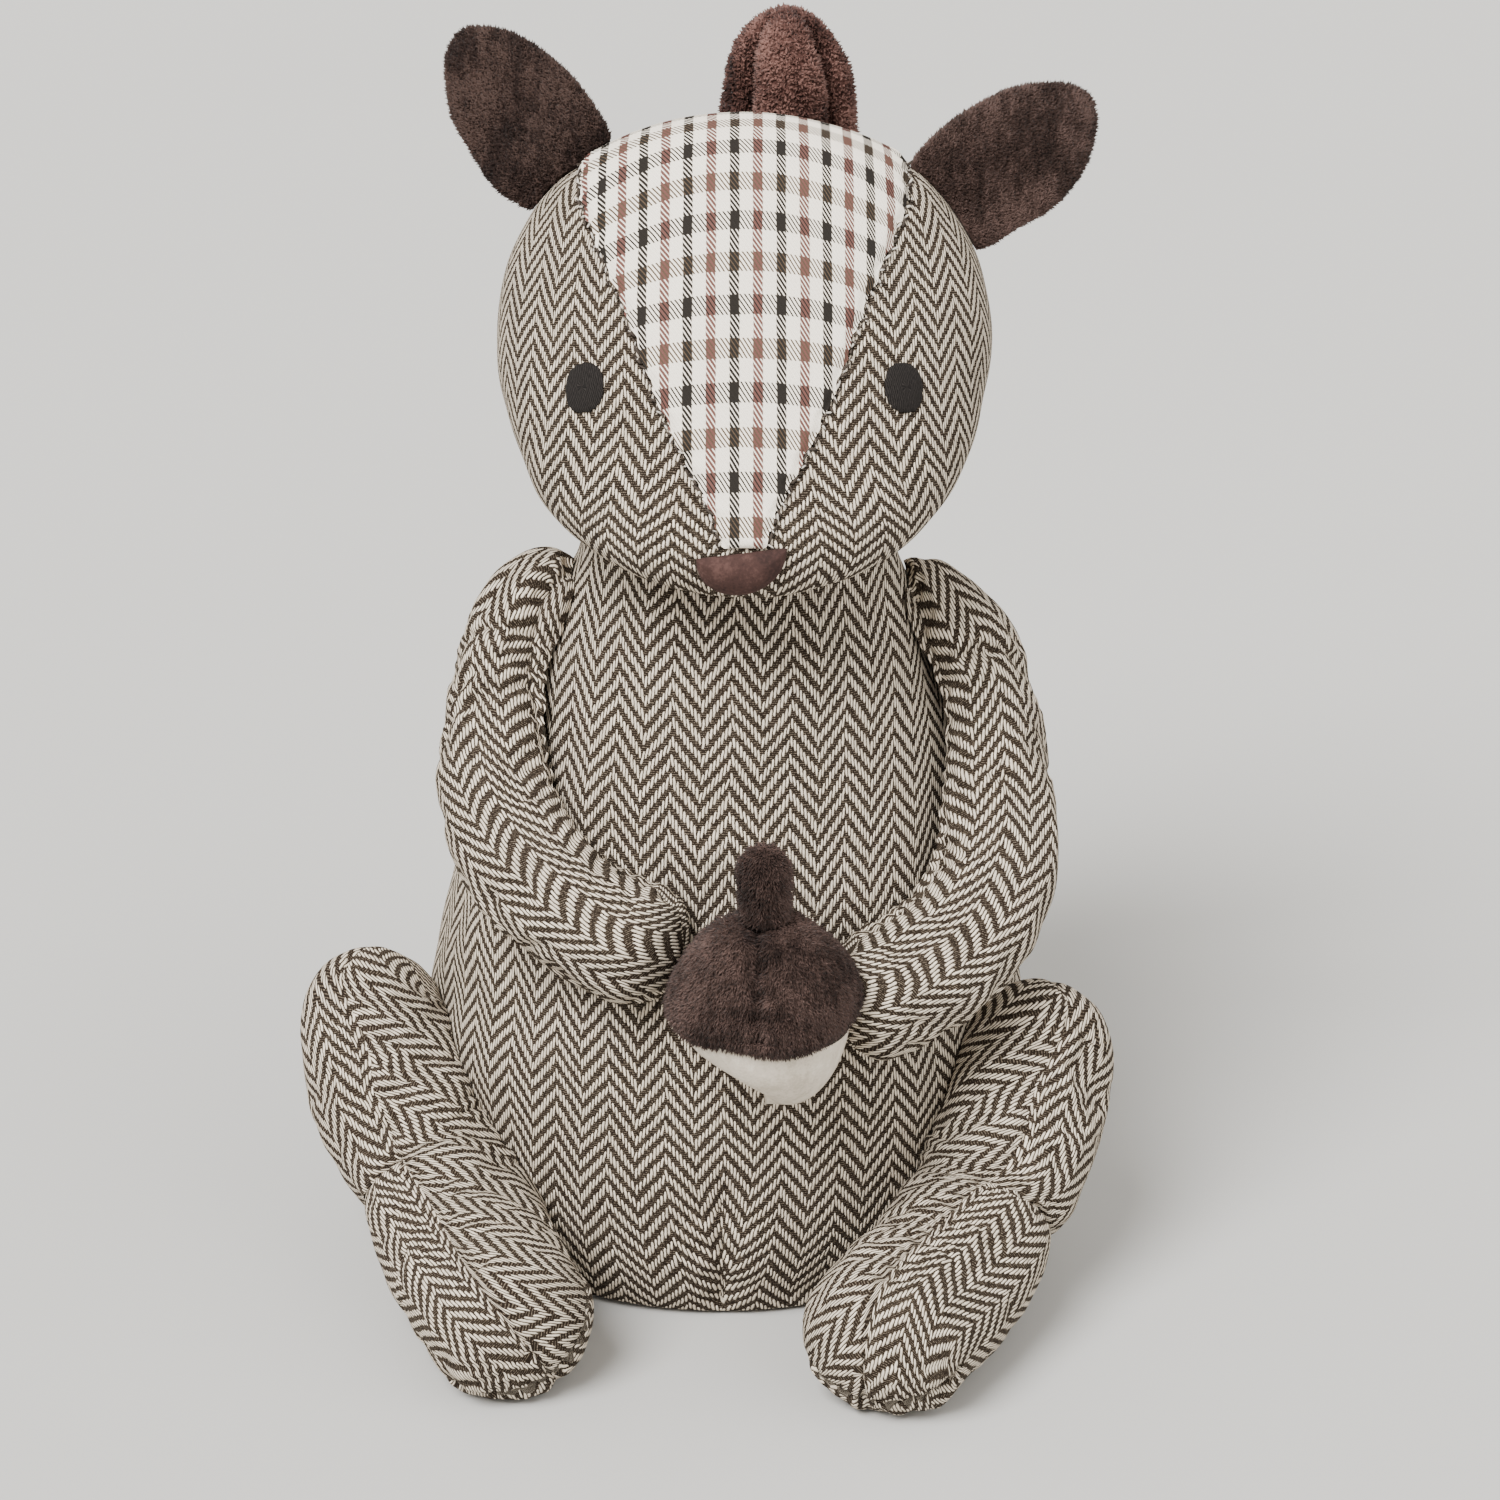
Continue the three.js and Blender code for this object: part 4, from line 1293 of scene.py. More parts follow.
@dataclass
class Torso:
    """Tweed body shell round the sand bag, and the panel under it."""

    around: int = 240
    seam_column: int = 26
    side_rows: int = 110
    neck_rows: int = 12
    bend_rows: int = 6
    inner_rows: int = 26
    wall: float = 1.2
    inner_room: float = 1.0
    inner_start: float = 4.2
    foot_bend: float = 2.0
    turned_in: tuple[float, float] = (3.2, 4.6)
    panel_radius: float = 50
    panel_thickness: float = 2
    seat_gap: float = 0.3
    dart_height: float = 42
    dart_depth: float = 2.2
    dart_take: float = 7.0
    dart_fade: float = 30
    cloth_start: float = 30

    def turns(self) -> Array:
        """Azimuths of the columns, crowded towards the front."""
        angle = (np.arange(self.around) + self.seam_column) / self.around * TURN
        return angle - 0.55 * np.sin(angle - 1.5 * math.pi)

    def outer(self) -> Array:
        """Rows of the outside from the neck's pole to the rim on the floor."""
        turn = self.turns()[None, :]
        over = np.linspace(math.pi / 2, 0, self.neck_rows, endpoint=False)[:, None]
        neck = BODY.place(turn, BODY.neck_level, -(1 - np.cos(over)) * BODY.neck_radius)
        neck[..., 2] = BODY.neck_level + BODY.neck_crown * np.sin(over)
        heights = np.linspace(BODY.neck_level, self.foot_bend, self.side_rows)[:, None]
        side = BODY.place(turn, heights)
        bend = np.linspace(0, math.pi / 2, self.bend_rows)[1:, None]
        foot = BODY.place(turn, self.foot_bend * (1 - np.sin(bend)), -self.foot_bend * (1 - np.cos(bend)))
        foot[..., 2] = self.foot_bend * (1 - np.sin(bend))
        rim = BODY.place(turn, 0.0, -np.array(self.turned_in)[:, None])
        return np.concatenate([neck, side, foot, rim])

    def worked(self) -> Skin:
        """The outside closed under the floor, with its lumps, seams, dart and cloth map."""
        skin = Skin.of(np.concatenate([self.outer(), np.zeros((1, self.around, 3))]))
        across = skin.around()
        back = self.around // 4 - self.seam_column
        seam, front = 2 * back, back + self.around // 2
        self.lay(skin, across, [(0, seam, back), (seam, front, front), (front, self.around, front)])
        height = skin.points[..., 2]
        sides = [np.abs(across[:, :-1] - across[:, [column]]) for column in (0, seam, self.around)]
        seams = seam_dip(np.min(sides, axis=0), height)
        dart = self.dart(across[:, :-1] - across[:, [front]], height)
        soft = 0.8 * lumps(skin.points, 22, 5) + 0.3 * lumps(skin.points, 9, 6)
        return skin.pushed(eased(height, 0.5, 6) * (soft - dart - seams))

    def lay(self, skin: Skin, across: Array, panels: Sequence[tuple[int, int, int]]) -> None:
        """Lays cloth on the back and on both halves of the front, taken in at the dart.

        Args:
            skin: the outside.
            across: distance around it.
            panels: first column, last column and centre of the back, the right and the left.
        """
        along = skin.along()
        level = BODY.place(1.5 * math.pi, BODY.neck_level)[2] - along.mean(1, keepdims=True) + self.cloth_start
        skin.lay_panels(panels, across, np.broadcast_to(level, along.shape))
        take = self.dart_take * eased(self.dart_height - skin.points[..., 2], 0, self.dart_height)
        for (first, last, _), sign in zip(panels[1:], (-1, 1)):
            side = slice(first, last)
            for edge in (skin.low, skin.high):
                fade = np.exp(-np.abs(edge[:, side, 0]) / self.dart_fade)
                edge[:, side, 0] += sign * take[:, side] * fade

    def dart(self, aside: Array, height: Array) -> Array:
        """Depth of the dart at the lower front and of the puckers beside it."""
        deep = eased(self.dart_height - height, 0, self.dart_height / 3)
        pucker = np.sin(height * TURN / 8.5 + np.sign(aside) * 0.8)
        valley = self.dart_depth * deep * (0.8 * bump(aside, 3.4) + 0.35 * bump(aside, 1.0))
        return valley + 0.35 * deep * bump(aside, 9) * pucker

    def shell(self, outside: Skin) -> Skin:
        """Cloth wall between the outside and its own inside, open below."""
        turn = self.turns()[None, :]
        recess = self.panel_radius + self.seat_gap - BODY.base_radius
        rim = np.repeat(BODY.place(turn, 0.0, recess), 2, axis=0)
        rim[1, :, 2] = self.panel_thickness + self.seat_gap - 0.05
        heights = np.linspace(self.inner_start, BODY.neck_level, self.inner_rows)[:, None]
        depth = self.wall + self.inner_room
        side = BODY.place(turn, heights, -depth)
        over = np.linspace(0, math.pi / 2, self.bend_rows)[1:, None]
        inward = depth + (1 - np.cos(over)) * (BODY.neck_radius - depth)
        crown = BODY.place(turn, BODY.neck_level, -inward)
        crown[..., 2] = BODY.neck_level + (BODY.neck_crown - 2 * self.wall) * np.sin(over)
        inner = np.concatenate([rim, side, crown])
        points = np.concatenate([outside.points[:-1], inner])
        fill = np.zeros((*inner.shape[:2], 2))
        fill[..., 0] = np.arange(self.around)
        fill[..., 1] = inner[..., 2]
        low = np.concatenate([outside.low[:-1], fill])
        high = np.concatenate([outside.high[:-1], fill + np.array([1.0, 0.0])])
        return Skin(points, low, high)

    def panel(self) -> Skin:
        """Bottom panel with a turned edge and a slight hollow."""
        turn = ring(120)[None, :]
        edge = np.linspace(-math.pi / 2, math.pi / 2, 9)[:, None]
        half = self.panel_thickness / 2
        flat = np.linspace(0, self.panel_radius - half, 22)[:, None]
        radius = np.concatenate([flat, self.panel_radius - half + half * np.cos(edge), flat[::-1]])
        height = np.concatenate([0 * flat, half + half * np.sin(edge), 0 * flat + self.panel_thickness])
        x = radius * np.cos(turn)
        y = BODY.depth_ratio * radius * np.sin(turn)
        points = np.stack([x, y, np.broadcast_to(height, x.shape)], axis=2)
        hollow = 0.5 * eased(self.panel_radius - 3 - radius, 0, 8) * (1 + 0.6 * lumps(points, 16, 21))
        points[: len(flat), :, 2] = np.maximum(hollow[: len(flat)], 0)
        skin = Skin.of(points)
        flat_map = points[..., :2]
        skin.low, skin.high = flat_map.copy(), np.roll(flat_map, -1, 1)
        return skin

    def build(self) -> tuple[Skin, bpy.types.Object]:
        """Makes the body, and makes and dresses the panel and the sand bag.

        Returns:
            The body's closed outside, for trimming its neighbours, and the body, not dressed yet.
        """
        outside = self.worked()
        body = self.shell(outside).made("tweed_body")
        panel = self.panel().made("bottom_panel")
        dressed(panel, TWEED, "base_panel")
        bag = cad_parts["weight_bag"]
        bag.data.materials.clear()
        bag.data.materials.append(CALICO.material())
        return outside, body


@dataclass
class SquirrelHead:
    """Tweed head with its check forehead patch, eyes and nose."""

    around: int = 224
    rows: int = 170
    patch_columns: int = 64
    patch_start: float = math.radians(17)
    patch_end: float = math.radians(150)
    patch_off: float = 0.3
    patch_thickness: float = 0.9
    most_of_width: float = 0.93
    eye_size: tuple[float, float] = (9, 10.4)
    eye_polar: float = math.radians(61)
    eye_spread: float = math.radians(45)
    nose_width: float = 18.5
    nose_polar: float = math.radians(5.7)
    nose_tilt: float = math.radians(7)
    cloth_tilt: float = math.radians(14)
    guide_turn: float = math.radians(50)
    most_stretch: float = 1.4

    def patch_half(self, polar: Array) -> Array:
        """Half width of the patch at an angle from the snout."""
        taper = smooth([(self.patch_start, 4.8), (math.radians(62), 20.5), (math.radians(103), 34)])
        most = self.most_of_width * HEAD.width(np.cos(polar)) * np.sin(polar)
        run = polar * BROW_RADIUS * TURN
        uneven = 0.3 * np.sin(run / 7.3) + 0.2 * np.sin(run / 3.1 + 2 * np.sin(polar * 11))
        return np.minimum(taper(polar), most) + uneven * eased(polar, self.patch_start, self.patch_start + 0.1)

    def risen(self, skin: Skin) -> Array:
        """Cloth length up to each point, measured on a cheek and the same all round at a level."""
        level = (skin.points - HEAD.middle) @ np.array([0, math.sin(self.cloth_tilt), math.cos(self.cloth_tilt)])
        guide = round(self.guide_turn / TURN * self.around)
        height = np.maximum.accumulate(level[:, guide])
        steps = np.linalg.norm(np.diff(skin.points[:, guide], axis=0), axis=1)
        gained = np.minimum(steps, self.most_stretch * np.diff(height))
        length = np.interp(level, height, np.concatenate([[0], np.cumsum(gained)]))
        return length + self.most_stretch * np.minimum(level - height[0], 0)

    def cheeks(self) -> Skin:
        """Head skin by azimuth from the front and elevation, with an empty map."""
        azimuth = ring(self.around)[None, :]
        elevation = self.elevation()
        flat = np.cos(elevation)
        way = np.stack([flat * np.sin(azimuth), -flat * np.cos(azimuth), np.sin(elevation) + 0 * azimuth], axis=2)
        near, far = np.zeros(way.shape[:2]), np.full(way.shape[:2], 95.0)
        for _ in range(30):
            reach = (near + far) / 2
            outside = HEAD.fill(HEAD.middle + way * reach[..., None]) > 1
            near, far = np.where(outside, near, reach), np.where(outside, reach, far)
        return Skin.of(HEAD.middle + way * near[..., None])

    def elevation(self) -> Array:
        """Elevation of each row."""
        return np.linspace(-math.pi / 2, math.pi / 2, self.rows)[:, None]

    def lay(self, skin: Skin) -> None:
        """Lays cloth on both cheeks, from the seam at the chin and the brow."""
        across, along = skin.around(), self.risen(skin)
        half = self.around // 2
        signed = np.where(np.arange(self.around + 1) > half, across - across[:, [-1]], across)
        upper = eased(self.elevation(), math.radians(-30), math.radians(4))
        laid = upper * signed + (1 - upper) * signed[self.rows // 2][None, :]
        skin.lay_panels([(0, half, 0)], laid, along)
        skin.lay_panels([(half, self.around, self.around)], laid, along)
        skin.low[:, half, 0] = -laid[:, half]

    def cover(self) -> Skin:
        """Head skin with its cloth map and the patch's seam sunk in."""
        skin = self.cheeks()
        self.lay(skin)
        share, aside, up = HEAD.split(skin.points)
        polar = np.arccos(np.clip(share, -1, 1))
        edge = np.abs(aside) - self.patch_half(polar)
        front = (up > 0) & (polar > self.patch_start)
        dip = np.where(front, seam_dip(edge, polar * BROW_RADIUS, 0.8, 1.1), 0)
        under = np.where(front, 0.35 * eased(-edge, 0, 2), 0)
        chin = np.where(up < 0, seam_dip(aside, skin.points[..., 2], 0.5, 0.8), 0)
        soft = 0.35 * lumps(skin.points, 18, 11) + 0.15 * lumps(skin.points, 8, 12)
        near_patch = np.where(front, eased(edge, 0.5, 5), 1)
        return skin.pushed(soft * near_patch - dip - under - chin)

    def patch(self) -> Skin:
        """Check cotton bent over the forehead, its edges turned down into the seam."""
        count = self.patch_columns
        side = -np.cos(np.linspace(0, math.pi, count + 1))
        loop = np.concatenate([side[:-1], side[::-1][:-1]])[None, :]
        outer = (np.arange(2 * count) < count)[None, :]
        polar = np.linspace(self.patch_start, self.patch_end, self.rows)[:, None]
        ends = np.minimum(polar - self.patch_start, self.patch_end - polar) * BROW_RADIUS
        rounded = np.sqrt(np.clip(1 - (1 - np.clip(ends / 3.0, 0, 1)) ** 2, 0, 1))
        aside = loop * self.patch_half(polar) * (0.82 + 0.18 * rounded)
        edge = self.patch_half(polar) * (1 - np.abs(loop))
        lift = self.patch_thickness * np.clip(eased(edge, -0.2, 2.2), 0, 1) * rounded
        wave = polar * BROW_RADIUS * TURN / 6.1 + 1.5 * np.sin(polar * 9) + np.sign(loop)
        pucker = 0.32 * np.sin(wave) * bump(edge, 3.2)
        stand = np.where(outer, self.patch_off + 0.02 + lift + pucker * rounded, self.patch_off)
        flat = np.stack([aside, polar * BROW_RADIUS + 0 * aside, 0 * aside], axis=2)
        stand = stand + np.where(outer, 0.1 * lumps(flat, 14, 31), 0) * rounded
        points = HEAD.brow_place(aside, polar + 0 * aside, np.maximum(stand, self.patch_off + 0.01 * outer))
        poles = [end.mean(1, keepdims=True) + 0 * end for end in (points[:1], points[-1:])]
        skin = Skin.of(np.concatenate([poles[0], points, poles[1]]))
        self.lay_check(skin, polar)
        return skin

    def lay_check(self, skin: Skin, polar: Array) -> None:
        """Args:
            skin: the patch, outside first and then back under itself.
            polar: angle of each row from the tip of the snout, without the poles.
        """
        arc = lengths(skin.points[:, : self.patch_columns + 1].swapaxes(0, 1)).T
        arc = arc - arc[:, [self.patch_columns // 2]]
        length = lengths(HEAD.brow_place(0.0, polar[:, 0], 1.2))
        length = np.concatenate([[0], length, length[-1:]])
        angle = np.concatenate([polar[:1], polar, polar[-1:]])
        arch = 5.0 * eased(angle, math.radians(60), math.radians(100))
        upper = np.stack([arc, length[:, None] + arch * (arc / 34) ** 2], axis=2)
        lower = upper[:, ::-1]
        skin.low = np.concatenate([upper[:, :-1], lower[:, :-1]], axis=1)
        skin.high = np.concatenate([upper[:, 1:], lower[:, 1:]], axis=1)

    def pad(self, turn: float, polar: float, thickness: float, outline: Callable, squareness: float = 0.8) -> Skin:
        """Domed pad on the head, its map laid flat.

        Args:
            turn: turn round the snout's axis.
            polar: angle from the tip of the snout.
            thickness: how far the dome rises.
            outline: from angles to distances aside and up.
            squareness: how square the dome's edge is.

        Returns:
            The pad's skin.
        """
        middle = HEAD.place(turn, polar)
        out = HEAD.normal(middle)
        side = unit(np.array([1.0, 0, 0]) - out * out[0])
        up = np.cross(out, side)
        rise = np.linspace(0, 1, 34)[:, None]
        angle = ring(72)[None, :]
        spread = np.sin(rise * math.pi) ** squareness
        aside, raised = (spread * part for part in outline(angle))
        foot = HEAD.dropped(middle + aside[..., None] * side + raised[..., None] * up, out)
        lift = np.where(rise > 0.5, thickness * np.sqrt(np.clip(1 - spread**2, 0, 1)), 0)
        skin = Skin.of(foot + HEAD.normal(foot) * (0.5 + lift)[..., None])
        flat = np.stack([aside, raised], axis=2)
        skin.low, skin.high = flat.copy(), np.roll(flat, -1, 1)
        return skin

    def nose_outline(self, angle: Array) -> tuple[Array, Array]:
        """Half moon with a nearly straight top edge."""
        swing = np.sin(angle)
        raised = 4.0 + np.where(swing < 0, 8.6, 0.7) * swing
        aside = self.nose_width / 2 * np.cos(angle) + 1.4 * np.minimum(swing, 0)
        turned = aside * math.cos(self.nose_tilt) - raised * math.sin(self.nose_tilt)
        return turned, raised * math.cos(self.nose_tilt) + aside * math.sin(self.nose_tilt)

    def eye_outline(self, angle: Array, half_width: float, half_height: float) -> tuple[Array, Array]:
        """Squarish oval with an edge of uneven stitches."""
        uneven = 1 + 0.018 * np.sin(17 * angle) + 0.012 * np.sin(29 * angle + 1)
        along, up = np.cos(angle), np.sin(angle)
        return (half_width * uneven * np.sign(along) * np.abs(along) ** 0.86,
                half_height * uneven * np.sign(up) * np.abs(up) ** 0.86)

    def seam_lines(self) -> list[Array]:
        """Lines of the patch's seams from the nose to the crown."""
        polar = np.linspace(self.patch_start + 0.02, math.radians(140), 160)
        return [HEAD.brow_place(sign * (self.patch_half(polar) + 0.5), polar, 0.25) for sign in (-1, 1)]

    def build(self) -> tuple[Skin, Skin]:
        """Makes and dresses the head and what is sewn on it.

        Returns:
            The head's and the patch's skins, for trimming their neighbours.
        """
        cover, patch = self.cover(), self.patch()
        dressed(cover.made("tweed_head"), TWEED, "head")
        dressed(patch.made("check_patch"), CHECK, "forehead_patch")
        width, height = self.eye_size
        for name, sign in (("left_eye", 1), ("right_eye", -1)):
            eye = self.pad(math.pi / 2 + sign * self.eye_spread, self.eye_polar, 1.0,
                           lambda angle: self.eye_outline(angle, width / 2, height / 2), squareness=0.6)
            dressed(eye.made(f"{name}_stitching"), EYE_THREAD, name)
        nose = self.pad(math.pi / 2, self.nose_polar, 2.6, self.nose_outline)
        dressed(nose.made("velvet_nose"), VELVET, "nose")
        lines = self.seam_lines()
        dark = Stitches(spacing=1.9, length=2.6, thick=0.6, scatter=1.0, seed=3)
        pale = Stitches(spacing=3.1, length=2.2, thick=0.55, scatter=1.1, seed=4)
        dark.sewn("patch_seam_dark", lines, DARK_THREAD, "tweed")
        pale.sewn("patch_seam_pale", lines, PALE_THREAD, "tweed")
        return cover, patch


@dataclass
class Ear:
    """Leaf-shaped plush ear."""

    side: str
    turn: float
    splay: float
    length: float = 47
    width: float = 28
    thickness: float = 8
    cup: float = 3
    root_depth: float = 9
    widest: float = 0.4
    polar: float = math.radians(125)
    back_tilt: float = math.radians(2)
    face_tilt: float = 0.25
    pile: float = 1.0
    finish: Finish = DARK_PLUSH

    def skin(self) -> Skin:
        """The ear's cloth, a little inside its pile."""
        root = HEAD.place(self.turn, self.polar, -self.root_depth)
        axis = np.array([
            math.sin(self.splay) * math.cos(self.back_tilt),
            math.sin(self.back_tilt),
            math.cos(self.splay) * math.cos(self.back_tilt),
        ])
        front = np.array([math.copysign(1, self.splay) * self.face_tilt, -1, self.face_tilt])
        front = unit(front - (front @ axis) * axis)
        across = np.cross(axis, front)
        run = (0.5 - 0.5 * np.cos(np.linspace(0, math.pi, 80)))[:, None]
        angle = ring(96)[None, :]
        from_widest = np.abs(run - self.widest) / np.where(run < self.widest, self.widest, 1 - self.widest)
        leaf = np.clip(1 - from_widest**2.6, 0, 1) ** 0.6
        aside = self.width / 2 * leaf * np.sin(angle)
        cup = self.cup * (1 - (2 * aside / self.width) ** 2)
        puff = self.thickness / 2 * leaf * np.cos(angle)
        points = root + (run * self.length)[..., None] * axis + aside[..., None] * across
        skin = Skin.of(points + (puff - cup)[..., None] * front)
        soft = 0.5 * lumps(skin.points, 9, 41 + int(self.splay > 0))
        return skin.pushed(soft * leaf - 0.4)

    def build(self, head_seat: bpy.types.Object, patch_seat: bpy.types.Object) -> None:
        """Makes, trims and dresses the ear."""
        piece = trimmed(self.skin().made(f"{self.side}_ear_plush"), head_seat, patch_seat)
        comb = (math.sin(self.splay), 0.0, math.cos(self.splay))
        pile = Pile(self.pile, width=0.3, density=12.0, lean=0.6, seed=5 + int(self.splay > 0), comb=comb)
        pile.grown(piece, self.finish, HEAD.gap)
        dressed(piece, self.finish, f"{self.side}_ear")


@dataclass(frozen=True)
class Stuffing:
    """Cloth simulation that fills a sewn skin, so that its slack cloth wrinkles between the seams."""

    pressure: float = 4.0
    slack: float = 0.06
    frames: int = 20
    row_step: int = 3
    column_step: int = 4
    most: float = 2.2

    def held(self, rows: int, count: int, points: Array) -> list[int]:
        """Vertices on the seams, at the poles and on the floor, which stay where they are."""
        seams = [1 + row * count + column for row in range(rows - 2) for column in (0, count // 2)]
        flat = points[1:-1].reshape(-1, 3)[:, 2]
        return [0, *seams, *(1 + np.flatnonzero(flat < 2)).tolist(), 1 + (rows - 2) * count]

    def settled(self, coarse: Skin) -> Array:
        """How far each point of a coarse skin moves, in millimetres."""
        rows, count = coarse.points.shape[:2]
        piece = coarse.made("stuffing")
        piece.vertex_groups.new(name="held").add(self.held(rows, count, coarse.points), 1.0, "REPLACE")
        cloth = piece.modifiers.new("cloth", "CLOTH")
        cloth.settings.quality = 5
        cloth.settings.tension_stiffness = cloth.settings.compression_stiffness = 15
        cloth.settings.bending_stiffness = 0.05
        cloth.settings.use_pressure = True
        cloth.settings.uniform_pressure_force = self.pressure
        cloth.settings.shrink_min = -self.slack
        cloth.settings.vertex_group_mass = "held"
        cloth.settings.effector_weights.gravity = 0
        cloth.point_cache.frame_start, cloth.point_cache.frame_end = 1, self.frames
        for now in range(1, self.frames + 1):
            bpy.context.scene.frame_set(now)
        spots = vertices(piece.evaluated_get(bpy.context.evaluated_depsgraph_get()).data)
        bpy.data.objects.remove(piece)
        bpy.context.scene.frame_set(1)
        poles = [np.repeat(spots[[end]], count, axis=0)[None] for end in (0, -1)]
        return np.concatenate([poles[0], spots[1:-1].reshape(rows - 2, count, 3), poles[1]]) - coarse.points

    def filled(self, skin: Skin) -> Skin:
        rows, count = skin.points.shape[:2]
        taken = np.unique([0, *range(1, rows - 1, self.row_step), rows - 1])
        move = self.settled(Skin.of(skin.points[taken][:, :: self.column_step]))
        size = np.linalg.norm(move, axis=2, keepdims=True)
        move = move / (1 + (size / self.most) ** 2) ** 0.5
        LOG.info("simulated stuffing moves the cloth %.2f mm, at most %.2f mm", np.median(size), size.max())
        move = refined(move, taken, np.arange(rows))
        around = np.arange(-3, move.shape[1] + 3)
        wrapped = move[:, around % move.shape[1]].swapaxes(0, 1)
        wide = refined(wrapped, around * self.column_step, np.arange(count))
        return Skin(skin.points + wide.swapaxes(0, 1), skin.low, skin.high)


def stuffed(tube: Tube, seed: int) -> Skin:
    """A limb's skin with its cloth, filled by simulation and with soft lumps.

    Args:
        tube: the plain limb.
        seed: choice of lumps.

    Returns:
        The skin with its cloth.
    """
    skin = tube.skin()
    tube.clothed(skin)
    skin = Stuffing().filled(skin)
    soft = 0.4 * lumps(skin.points, 12, seed) + 0.2 * lumps(skin.points, 5, seed + 40)
    worked = skin.pushed((soft - tube.rim_dip(1.1)) * eased(skin.points[..., 2], 0.0, 3.0))
    worked.points[..., 2] = np.maximum(worked.points[..., 2], 0)
    return worked


@dataclass
class Limb:
    """Stuffed tweed limb beside the body, with a seam on column 0."""

    side: str
    stations: Sequence[tuple[float, float, float]]
    seam: Sequence[tuple[float, float]]
    name: str = "limb"
    fill: float = 0.8
    radius: float = 13.7
    waves: tuple[float, float] = (150, 31)
    valley: float = 0.1
    puckers: tuple[float, float, float] = (0.25, 0.5, 1.0)

    @property
    def left(self) -> bool:
        """Whether it is the left one."""
        return self.side == "left"

    def turned(self, run: Array) -> Array:
        """Angle of the seam from the limb's outward or upward side."""
        return np.radians(smooth(self.seam)(run))

    def sewn(self, run: Array, angle: Array) -> Array:
        """Depth of the seam and of the puckers beside it."""
        from_seam = np.minimum(angle, TURN - angle)
        wave = np.sin(run * self.waves[0] + 2 * np.sin(run * self.waves[1]))
        depth, width, sway = self.puckers
        seam = 0.8 * bump(from_seam, self.valley) * (1 + 0.3 * wave)
        return seam + depth * bump(from_seam, width) * (1 + sway * wave)

    def skin(self) -> Skin:
        """The limb's cloth with its map."""
        raise NotImplementedError

    def build(self, seats: Sequence[bpy.types.Object]) -> None:
        """Makes, trims and dresses the limb."""
        piece = trimmed(self.skin().made(f"{self.side}_tweed_{self.name}"), *seats)
        dressed(piece, TWEED, f"{self.side}_{self.name}")


@dataclass
class Arm(Limb):
    """Tweed arm from the shoulder to the acorn. Folds have a place, a lean and a depth."""

    name: str = "arm"
    acorn_level: float = 86
    folds: Sequence[tuple[float, float, float]] = ((0.17, 0.05, 1.3), (0.235, 0.07, 0.6), (0.3, 0.05, 0.35))

    def shape(self, run: Array, angle: Array) -> Array:
        """Share of the radius: shoulder pleats, the inner seam and the shoulder's folds."""
        outer = 0.5 + 0.5 * np.cos(angle)
        pleats = 0.9 * bump(run, 0.16) * np.cos(7 * angle) * outer
        folds = 0.0
        for place, lean, depth in self.folds:
            folds = folds + depth * bump(run - place - lean * (1 - np.cos(angle)), 0.014) * outer**1.5
        return 1 - (pleats + self.sewn(run, angle) + folds) / self.radius

    def skin(self) -> Skin:
        """The arm's cloth with its map."""
        azimuth, share, pressed = np.array(self.stations).T
        height = self.acorn_level + share * (BODY.neck_level - self.acorn_level)
        route = Route(BODY.place(np.radians(azimuth), height, self.radius * (1 - pressed)))
        radius = smooth([(0, 11.5), (0.45, self.radius), (0.85, 13), (1, 13)])
        tube = Tube(route, radius, (10, 11), away_from_body, self.shape, seam=self.turned, mitten=True)
        return stuffed(tube, 51 if self.left else 52)


